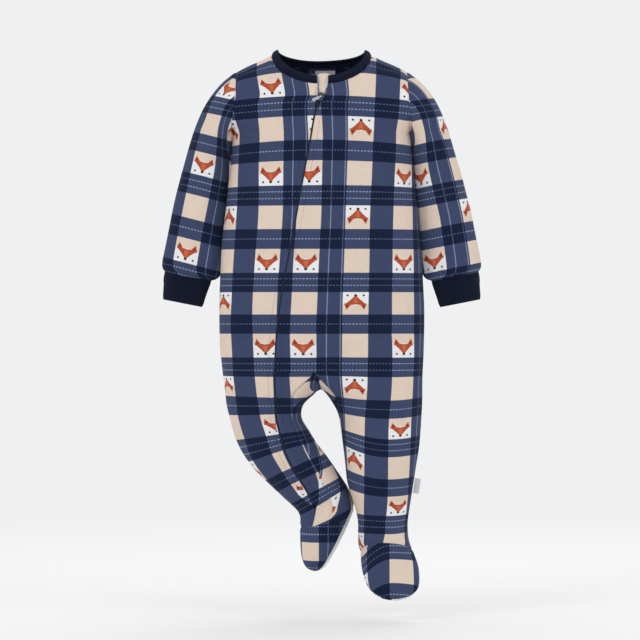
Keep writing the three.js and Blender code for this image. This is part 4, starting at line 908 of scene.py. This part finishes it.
def plaid_fleece():
    material, tree, shader = cloth_material("plaid_fleece", 0.95, 0.04)
    u, v = print_coordinates(tree)
    # The pile blurs the printed edges by a few tenths of a millimetre.
    shiver = times_plus(tree, noise(tree, 900.0, 1.0), 0.006, -0.003)
    u, v = plus(tree, u, shiver), minus(tree, v, shiver)
    a = fract(tree, times(tree, u, 2.0))
    b = fract(tree, times(tree, v, 2.0))
    column_a = is_below(tree, fract(tree, u), 0.5)
    row_a = is_below(tree, fract(tree, v), 0.5)

    def inside(value, low, high, soft):
        rise = soft_step(tree, value, low - soft, low + soft)
        drop = soft_step(tree, value, high - soft, high + soft)
        return minus(tree, rise, drop)

    cream_column, cream_row = inside(a, 0.004, 0.507, 0.006), inside(b, 0.004, 0.546, 0.006)
    fabric = painted(tree, most(tree, cream_column, cream_row), NAVY_PRINT, BLUE)
    navy = minus(tree, 1.0, most(tree, cream_column, cream_row))
    square = times(tree, cream_column, cream_row)
    thread = painted(tree, navy, THREAD_ON_BLUE, THREAD_ON_NAVY)
    # Dashed lines along the bands, and almost whole ones down every other blue column.
    dashes = is_below(tree, fract(tree, times(tree, u, 30.0)), 0.62)
    pair = plus(tree, inside(b, 0.676, 0.699, 0.005), inside(b, 0.830, 0.853, 0.005))
    single = inside(b, 0.762, 0.785, 0.005)
    level = times(tree, painted(tree, row_a, single, pair), dashes)
    fine = is_below(tree, fract(tree, times(tree, v, 46.0)), 0.8)
    upright = plus(tree, inside(a, 0.692, 0.711, 0.005), inside(a, 0.955, 0.974, 0.005))
    upright = times(tree, times(tree, upright, fine), minus(tree, 1.0, column_a))
    lines = least(tree, plus(tree, level, upright), 1.0)
    fabric = painted(tree, times(tree, lines, 0.85), fabric, thread)
    fabric = painted(tree, square, fabric, CREAM)
    # The fox faces, one simple face to a square: x from -1 to 1 and y up, turned over in column A.
    turn = times_plus(tree, column_a, -2.0, 1.0)
    x = times(tree, times_plus(tree, a, 3.945, -1.0), turn)
    y = times(tree, times_plus(tree, b, -3.663, 1.0), turn)
    side = size_of(tree, x)

    def disc(cx, cy, rx, ry):
        dx = maths("POWER", tree, size_of(tree, times_plus(tree, side, 1 / rx, -cx / rx)), 2.0)
        dy = maths("POWER", tree, size_of(tree, times_plus(tree, y, 1 / ry, -cy / ry)), 2.0)
        return minus(tree, 1.0, soft_step(tree, plus(tree, dx, dy), 0.8, 1.25))

    rise = least(tree, most(tree, times_plus(tree, y, 1.39, 0.93), 0.0), 1.0)
    sides = minus(tree, times_plus(tree, maths("POWER", tree, rise, 1.25), 0.70, 0.09), side)
    crown = minus(tree, times_plus(tree, side, 0.16, 0.10), y)
    head = least(tree, least(tree, sides, crown), plus(tree, y, 0.70))
    ear_side = size_of(tree, minus(tree, side, times_plus(tree, y, 0.20, 0.57)))
    ear = minus(tree, times_plus(tree, y, -0.56, 0.33), ear_side)
    ear = least(tree, ear, minus(tree, y, 0.02))
    head = most(tree, head, ear)
    bridge = minus(tree, times_plus(tree, y, 0.30, 0.23), side)
    bridge = least(tree, bridge, minus(tree, 0.0, y))
    face = painted(tree, soft_step(tree, y, 0.24, 0.06), CREAM, FOX_WHITE)
    face = painted(tree, soft_step(tree, head, -0.02, 0.03), face, FOX)
    face = painted(tree, soft_step(tree, bridge, -0.04, 0.08), face, FOX_LIGHT)
    face = painted(tree, disc(0.63, 0.25, 0.09, 0.10), face, FOX_DEEP)
    face = painted(tree, disc(0.0, -0.70, 0.12, 0.10), face, FOX_DARK)
    face = painted(tree, disc(0.62, -0.70, 0.085, 0.085), face, FOX_DARK)
    # A face stands where column and row are unlike: B columns in A rows, A columns in B rows.
    unlike = size_of(tree, minus(tree, column_a, row_a))
    fabric = painted(tree, times(tree, square, unlike), fabric, face)
    # Fibres of the pile lighten and darken the print, and stand up a little.
    pile = noise(tree, 1300.0, 3.0, 0.75)
    cloud = noise(tree, 70.0, 2.0)
    shade = times_plus(tree, pile, 0.30, 0.85)
    shade = times(tree, shade, times_plus(tree, cloud, 0.10, 0.95))
    shaded(tree, shader, fabric, shade)
    nap = bumped(tree, pile, 0.0005)
    tree.links.new(bumped(tree, noise(tree, 240.0, 2.0), 0.0007, nap), shader.inputs["Normal"])
    return material


def plain_object(name, verts, faces, material, corner_prints=None):
    """A new object, selected and active, from points in millimetres."""
    mesh = bpy.data.meshes.new(name)
    mesh.from_pydata((np.asarray(verts) * MM).tolist(), [], faces)
    if corner_prints is not None:
        layer = mesh.uv_layers.new(name="print")
        layer.data.foreach_set("uv", np.array(corner_prints, np.float32).ravel())
    mesh.materials.append(material)
    made = bpy.data.objects.new(name, mesh)
    scene.collection.objects.link(made)
    bpy.ops.object.select_all(action="DESELECT")
    made.select_set(True)
    bpy.context.view_layer.objects.active = made
    return made


def make_wall(piece, thickness, crease):
    """Gives the active sheet its thickness, on the inner side, and its place in the garment."""
    bpy.ops.object.modifier_add(type="SOLIDIFY")
    wall = piece.modifiers[-1]
    wall.thickness = thickness * MM
    wall.offset = -1.0
    bpy.ops.object.modifier_apply(modifier=wall.name)
    bpy.ops.object.shade_smooth_by_angle(angle=math.radians(crease))
    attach(piece, "garment")


def cloth_piece(name, thickness, material, groove=1.2):
    """A cut piece of the sewn net as a wall of cloth, drawn down into the seams at its edges."""
    own = owners == name
    used, local = np.unique(quads[own], return_inverse=True)
    local = local.reshape(-1, 4)
    faces, face_prints = [], []
    for face, marks in zip(local.tolist(), prints[own].tolist()):
        keep = [k for k in range(4) if face[k] != face[k - 1]]
        if len(keep) > 2:
            faces.append([face[k] for k in keep])
            face_prints += [marks[k] for k in keep]
    edges = {(face[k - 1], face[k]) for face in faces for k in range(len(face))}
    rim = sorted({i for a, b in edges if (b, a) not in edges for i in (a, b)})
    tree = search_tree(points[used[rim]])
    away = np.array([tree.find(Vector(p))[2] for p in points[used]])
    dip = -groove * np.exp(-((away / 2.4) ** 2)) + 0.25 * groove * np.exp(-(((away - 5.5) / 2.6) ** 2))
    place = points[used] + normals[used] * dip[:, None]
    piece = plain_object(name + "_cloth", place, faces, material, face_prints)
    make_wall(piece, thickness, 50.0)
    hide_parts(name)
    return piece


FLEECE = 2.0
FLAT = {
    "front_right": (0.21, 0.63, 0.068), "front_left": (0.25, 0.68, 0.113), "back": (0.42, 0.70, 0.197),
    "sleeve_right": (0.27, 0.28, 0.048), "sleeve_left": (0.27, 0.28, 0.048),
    "foot_top_right": (0.13, 0.09, 0.0072), "foot_top_left": (0.16, 0.10, 0.0094),
}
fleece = plaid_fleece()
for name, (width, length, area) in FLAT.items():
    piece = cloth_piece(name, FLEECE, fleece)

# ---------------------------------------------------------------------------------------------
# Neckband and cuffs: strips of rib knit, folded double lengthways and sewn on stretched. The fine
# ribs run across the band and down the cuffs.
# The second rib colour is painted shade, for the valleys between the ribs.
RIB_NAVY, RIB_VALLEY_SHADE = (0.0085, 0.0135, 0.038), (0.003, 0.005, 0.016)


def rib_knit():
    material, tree, shader = cloth_material("rib_knit", 0.88, 0.03)
    u, v = print_coordinates(tree)
    wave = sine(tree, times(tree, u, 2 * math.pi))
    rib = times_plus(tree, wave, 0.5, 0.5)
    stitch = sine(tree, times_plus(tree, v, 2 * math.pi / 0.9, times(tree, wave, 1.2)))
    height = times_plus(tree, stitch, 0.12, rib)
    # The valleys between the ribs are painted darker: painted shade in the recesses of the knit.
    colour = painted(tree, rib, RIB_VALLEY_SHADE, RIB_NAVY)
    yarn = noise(tree, 1500.0, 2.0)
    shaded(tree, shader, colour, times_plus(tree, yarn, 0.5, 0.75))
    tree.links.new(bumped(tree, height, 0.0006, bumped(tree, yarn, 0.0002)), shader.inputs["Normal"])
    return material


RIB = 2.6
knit = rib_knit()
for name, flat_size, area in (
    ("neckband", (0.31, 0.0175), 0.0049),
    ("cuff_right", (0.135, 0.040), 0.0051),
    ("cuff_left", (0.135, 0.040), 0.0051),
):
    piece = cloth_piece(name, RIB, knit, groove=0.7)

# ---------------------------------------------------------------------------------------------
# Soles: white fleece cut to the foot and sewn to its top, with rows of small rubbery grip dots.
SOLE_WHITE, DOT_GREY = (0.80, 0.815, 0.82), (0.62, 0.64, 0.66)


def sole_fleece():
    material, tree, shader = cloth_material("sole_fleece", 0.9, 0.25)
    u, v = print_coordinates(tree)
    row = times(tree, v, 1 / 4.6)
    odd = fract(tree, times(tree, maths("FLOOR", tree, row), 0.5))
    across = size_of(tree, minus(tree, fract(tree, times_plus(tree, u, 1 / 5.2, odd)), 0.5))
    down = size_of(tree, minus(tree, fract(tree, row), 0.5))
    reach = maths("SQRT", tree, plus(tree, times(tree, across, across), times(tree, down, down)))
    dot = minus(tree, 1.0, soft_step(tree, reach, 0.15, 0.22))
    pile = noise(tree, 1200.0, 3.0, 0.7)
    colour = painted(tree, times(tree, dot, 0.75), SOLE_WHITE, DOT_GREY)
    shaded(tree, shader, colour, times_plus(tree, pile, 0.16, 0.92))
    height = plus(tree, dot, times(tree, pile, 0.5))
    tree.links.new(bumped(tree, height, 0.0006), shader.inputs["Normal"])
    return material


sole_cloth = sole_fleece()
for name, flat_size, area in (("sole_right", (0.075, 0.11), 0.0057), ("sole_left", (0.085, 0.135), 0.0078)):
    piece = cloth_piece(name, 2.4, sole_cloth, groove=0.9)

# ---------------------------------------------------------------------------------------------
# Zip tape and coil: a woven navy tape sewn under the edges of the two fronts, with a nylon coil
# that closes the slit between them from the neck to the right ankle.
def grid_points(index):
    """Numbers of the sewn net's points in one grid, by row and column."""
    shape = cloth[index][1].shape[:2]
    return joined[grid_start[index] + np.arange(shape[0] * shape[1]).reshape(shape)]


def zip_rows(distance, side):
    """The cloth beside the zip, at a distance from its middle line: points and normals."""
    found, out = [], []
    torso, leg = (zip_torso_right, zip_leg_right) if side > 0 else (zip_torso_left, zip_leg_left)
    for ids in (grid_points(torso), grid_points(leg)[1:]):
        for near_zip in (ids[:, ::-1] if side > 0 else ids)[:, : 2 * STEPS]:
            p, n = points[near_zip], normals[near_zip]
            along = lengths(p, 0)
            at = max(0.0, distance - float(curve(OPEN_Z, OPEN_HALF, p[0, 2])))
            found.append([np.interp(at, along, p[:, k]) for k in range(3)])
            out.append([np.interp(at, along, n[:, k]) for k in range(3)])
    out = np.array(out)
    return np.array(found), out / np.linalg.norm(out, axis=1, keepdims=True)


edge_r, edge_l = zip_rows(0.0, 1), zip_rows(0.0, -1)
zip_middle = (edge_r[0] + edge_l[0]) / 2
zip_out = edge_r[1] + edge_l[1]
zip_out /= np.linalg.norm(zip_out, axis=1, keepdims=True)


def cloth_strip(name, grid, thickness, material, crease=50.0):
    """A narrow strip of cloth from a grid of points on its outer face."""
    faces = cell_corners(np.arange(grid[..., 0].size).reshape(grid.shape[:2])).reshape(-1, 4)
    uv = np.stack([lengths(grid, 1), lengths(grid, 0)], -1).reshape(-1, 2)
    strip = plain_object(name, grid.reshape(-1, 3), faces.tolist(), material, uv[faces.ravel()])
    make_wall(strip, thickness, crease)
    return strip


def woven_tape():
    material, tree, shader = cloth_material("woven_tape", 0.8, 0.1)
    u, v = print_coordinates(tree)
    weave = sine(tree, times(tree, plus(tree, u, v), 2 * math.pi / 0.7))
    # The low parts of the weave are painted darker: painted shade in its grooves.
    colour = painted(tree, times_plus(tree, weave, 0.5, 0.5), (0.004, 0.006, 0.017), (0.009, 0.014, 0.036))
    tree.links.new(colour, shader.inputs["Base Color"])
    tree.links.new(bumped(tree, weave, 0.0002), shader.inputs["Normal"])
    return material


TAPE_DEPTH, TAPE_START = 2.72, 2 * STEPS
columns = []
for distance, side in ((8.0, 1), (4.5, 1), (0.0, 0), (4.5, -1), (8.0, -1)):
    place, out = (zip_middle, zip_out) if side == 0 else zip_rows(distance, side)
    columns.append(place - out * TAPE_DEPTH)
tape_grid = np.stack(columns, 1)[TAPE_START:]
tape_paint = woven_tape()
tape = cloth_strip("zip_tape_woven", tape_grid, 0.9, tape_paint)
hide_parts("zip_tape")


def repeat_shape(name, pattern, path, out, pitch, material, lift):
    """Copies of one small shape along a path. The shape's X runs along the path and Z stands out."""
    shape = np.array([v.co for v in pattern.data.vertices]) / MM
    shape_faces = [list(face.vertices) for face in pattern.data.polygons]
    verts, faces = [], []
    run = lengths(path, 0)
    at = np.arange(pitch / 2, run[-1], pitch)
    k = np.clip(np.searchsorted(run, at, side="right") - 1, 0, len(path) - 2)
    t = (at - run[k]) / np.maximum(run[k + 1] - run[k], 1e-9)
    for i, share in zip(k, t):
        centre = mix(path[i], path[i + 1], share)
        normal = mix(out[i], out[i + 1], share)
        tangent = path[i + 1] - path[i]
        tangent = tangent - normal * (tangent @ normal)
        tangent /= np.linalg.norm(tangent)
        normal = normal / np.linalg.norm(normal)
        start = len(verts)
        axes = np.stack([tangent, np.cross(normal, tangent), normal])
        verts += (centre + normal * lift + shape @ axes).tolist()
        faces += [[start + n for n in face] for face in shape_faces]
    made = plain_object(name, verts, faces, material)
    bpy.ops.object.shade_smooth_by_angle(angle=math.radians(60))
    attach(made, "garment")


def small_shape(size):
    """A little barrel, the start of stitches and coil turns."""
    bpy.ops.object.select_all(action="DESELECT")
    bpy.ops.mesh.primitive_uv_sphere_add(
        segments=6, ring_count=4, radius=0.5, location=(0, 0, 0), rotation=(0, math.pi / 2, 0)
    )
    made = bpy.context.object
    made.scale = [s * MM for s in size]
    bpy.ops.object.transform_apply(location=True, rotation=True, scale=True)
    return made


def fine_grained(name, roughness, grain, dark, light):
    """Nylon or thread, whose colour varies finely between two shades."""
    material, tree, shader = new_material(name, roughness)
    tree.links.new(painted(tree, noise(tree, grain), dark, light), shader.inputs["Base Color"])
    return material


nylon = fine_grained("coil_nylon", 0.4, 500.0, (0.005, 0.008, 0.022), (0.016, 0.024, 0.06))
COIL_START, COIL_PITCH, COIL_LIFT = TAPE_START + 4, 1.45, -1.85
coil_path, coil_out = zip_middle[COIL_START:], zip_out[COIL_START:]
turn_shape = small_shape((1.05, 4.4, 1.1))
repeat_shape("zip_coil", turn_shape, coil_path, coil_out, COIL_PITCH, nylon, COIL_LIFT)
bpy.data.objects.remove(turn_shape)

# ---------------------------------------------------------------------------------------------
# Topstitching of the zip: a row of navy thread 7 mm from the slit on each side, sewn through the
# fleece and the tape.
navy_thread = fine_grained("navy_thread", 0.6, 2500.0, (0.005, 0.008, 0.024), (0.012, 0.019, 0.05))
stitch_shape = small_shape((2.7, 0.95, 0.6))
for side, label in ((1, "right"), (-1, "left")):
    place, out = zip_rows(8.2, side)
    repeat_shape("zip_topstitch_" + label, stitch_shape, place[3:], out[3:], 3.0, navy_thread, 0.02)

# The arch of the inseams at the crotch is oversewn with the same thread, close to the seam; this dark
# row of thread is partly real oversewing and partly painted shadow along the seam.
ids_right = grid_points(zip_leg_left)[: 3 * STEPS, -1]
ids_left = grid_points(inseam_left)[1 : 4 * STEPS, -1]
arch_ids = np.concatenate([ids_right[::-1], ids_left])
arch_out = normals[arch_ids]
arch_place = points[arch_ids] - arch_out * 0.9
repeat_shape("crotch_oversewing_and_seam_shadow", stitch_shape, arch_place, arch_out, 2.6, navy_thread, 0.25)
bpy.data.objects.remove(stitch_shape)

# ---------------------------------------------------------------------------------------------
# Zip guard: a small folded tab of cream fleece that closes the neck opening over the slider, bound
# with a strip of pale blue on one side; along the other edge a painted highlight shows as a white band.
GUARD_Z, GUARD_Y = [-20.5, -34, -46.6], [-40.4, -44.6, -47.6]
GUARD_R, GUARD_L = [-6.4, -4.8, -3.1], [12.6, 8.0, 3.3]


def guard_fleece():
    material, tree, shader = cloth_material("guard_fleece", 0.9, 0.3)
    u, v = print_coordinates(tree)
    pile = noise(tree, 1200.0, 3.0, 0.7)
    from_left = fract(tree, u)
    bound = is_below(tree, from_left, 0.12)
    # One edge of the tab is painted near white: a painted highlight along that edge.
    painted_highlight_edge = soft_step(tree, from_left, 0.84, 0.9)
    colour = painted(tree, bound, CREAM, (0.30, 0.36, 0.50))
    colour = painted(tree, painted_highlight_edge, colour, (0.84, 0.85, 0.87))
    shaded(tree, shader, colour, times_plus(tree, pile, 0.2, 0.9))
    tree.links.new(bumped(tree, pile, 0.0004), shader.inputs["Normal"])
    return material


share = np.linspace(0, 1, 13)
down = np.linspace(0, 1, 15)
guard_z = mix(GUARD_Z[0], GUARD_Z[-1], down)
guard_grid = []
for z in guard_z:
    right, left = curve(GUARD_Z, GUARD_R, z), curve(GUARD_Z, GUARD_L, z)
    y = curve(GUARD_Z, GUARD_Y, z)
    corner = np.clip(1 - (GUARD_Z[0] - z) / 3.5, 0, 1)
    drop = corner * 2.6 * np.abs(2 * share - 1) ** 3
    guard_grid.append(np.stack([mix(right, left, share), y - 0.5 * np.sin(np.pi * share), z - drop], -1))
guard_grid = np.array(guard_grid)
guard = cloth_strip("zip_guard_tab", guard_grid, 1.6, guard_fleece(), crease=70.0)
uv_layer = guard.data.uv_layers["print"]
for loop in guard.data.loops:
    co = guard.data.vertices[loop.vertex_index].co / MM
    right, left = float(curve(GUARD_Z, GUARD_R, co.z)), float(curve(GUARD_Z, GUARD_L, co.z))
    uv_layer.data[loop.index].uv = (min(max((co.x - right) / (left - right), 0.001), 0.999), -co.z)
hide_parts("zip_guard")

# ---------------------------------------------------------------------------------------------
# Labels, all bare: a satin ribbon label and a small grey size tag inside the back of the neck, and
# a folded loop of ribbon caught in the left side seam. Each is sewn along its edge.
def satin_ribbon(name, light, dark):
    material, tree, shader = new_material(name, 0.42)
    shader.inputs["Sheen Weight"].default_value = 0.1
    u, v = print_coordinates(tree)
    weave = sine(tree, times(tree, v, 2 * math.pi / 0.45))
    # The low parts of the weave take the darker colour: painted shade in its grooves.
    tree.links.new(painted(tree, times_plus(tree, weave, 0.5, 0.5), dark, light), shader.inputs["Base Color"])
    tree.links.new(bumped(tree, weave, 0.00006), shader.inputs["Normal"])
    return material


def inside_back(rows_, columns_, depth):
    """A patch of the back's inner side, as seen from the front through the neck."""
    step = 0.02
    here = body("back", rows_[:, None], columns_[None, :])
    down_ = body("back", rows_[:, None] + step, columns_[None, :]) - here
    over_ = body("back", rows_[:, None], columns_[None, :] + step) - here
    out = np.cross(over_, down_)
    out /= np.linalg.norm(out, axis=-1, keepdims=True)
    return (here - out * depth)[:, ::-1]


# Each ribbon's second colour is painted shade for the grooves of its weave.
white_satin = satin_ribbon("white_satin", (0.80, 0.81, 0.83), (0.66, 0.67, 0.70))
grey_satin = satin_ribbon("grey_satin", (0.50, 0.52, 0.58), (0.38, 0.40, 0.46))
for name, down, over, paint, slot_name, size in (
    ("neck_label", (0.25, 2.6, 13), (7.6, 8.9, 11), white_satin, "label", (0.0275, 0.0245, 0.00066)),
    ("size_tag", (0.7, 2.1, 9), (6.9, 7.52, 7), grey_satin, "size_tag", (0.0135, 0.0145, 0.000195)),
):
    grid = inside_back(np.linspace(*down), np.linspace(*over), 2.55)
    tag = cloth_strip(name + "_ribbon", grid, 0.7, paint)
    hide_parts(name)

# The side loop: the ribbon goes out from the seam, folds and comes back, leaning a little.
LOOP_X, LOOP_Y, LOOP_Z, LOOP_LONG = 125.8, -4.0, -562.0, 20.0
LOOP_IN, LOOP_OUT, LOOP_HALF, LOOP_LEAN = -4, 3.5, 0.30, 8.0
fold = np.linspace(0.3, math.pi - 0.3, 5)
going, coming = np.linspace(LOOP_IN, LOOP_OUT, 8), np.linspace(LOOP_OUT, LOOP_IN, 8)
reach = np.concatenate([going, LOOP_OUT + 0.45 * np.sin(fold), coming])
apart = np.concatenate([np.full(8, -LOOP_HALF), -LOOP_HALF * np.cos(fold), np.full(8, LOOP_HALF)])
lengthways = np.linspace(-LOOP_LONG / 2, LOOP_LONG / 2, 11)
lean = math.radians(LOOP_LEAN)
loop_grid = []
for height in lengthways[::-1]:
    curl = 0.25 * np.sin(height / 3.1) * np.clip((reach + 4) / 8, 0, 1)
    x = LOOP_X + reach * math.cos(lean) + height * math.sin(lean)
    z = LOOP_Z - reach * math.sin(lean) + height * math.cos(lean)
    loop_grid.append(np.stack([x, LOOP_Y + apart + curl, z], -1))
side_loop = cloth_strip("side_label_loop", np.array(loop_grid), 0.22, white_satin, crease=80.0)
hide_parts("side_label")

# ---------------------------------------------------------------------------------------------
# Slider and pull: a small cast slider enamelled navy, worn to bare metal in small scattered specks, and
# the bright plated tab that hangs on its pin.
def enamelled_metal():
    material, tree, shader = new_material("enamelled_metal")
    shader.inputs["Metallic"].default_value = 0.55
    shader.inputs["Coat Weight"].default_value = 0.4
    shader.inputs["Coat Roughness"].default_value = 0.15
    speckle = noise(tree, 700.0, 3.0)
    worn = soft_step(tree, speckle, 0.62, 0.7)
    tree.links.new(painted(tree, worn, (0.03, 0.042, 0.085), (0.35, 0.37, 0.42)), shader.inputs["Base Color"])
    rough = times_plus(tree, speckle, 0.25, 0.25)
    tree.links.new(rough, shader.inputs["Roughness"])
    tree.links.new(bumped(tree, speckle, 0.00008), shader.inputs["Normal"])
    return material


def plated_metal():
    material, tree, shader = new_material("plated_metal")
    shader.inputs["Metallic"].default_value = 0.9
    scratches = noise(tree, 1600.0, 3.0)
    tree.links.new(painted(tree, scratches, (0.30, 0.32, 0.37), (0.62, 0.64, 0.70)), shader.inputs["Base Color"])
    tree.links.new(times_plus(tree, scratches, 0.2, 0.18), shader.inputs["Roughness"])
    tree.links.new(bumped(tree, scratches, 0.00004), shader.inputs["Normal"])
    return material


for node, paint in (("zip_slider", enamelled_metal()), ("zip_pull", plated_metal())):
    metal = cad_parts[node]
    for place in metal.material_slots:
        place.material = paint
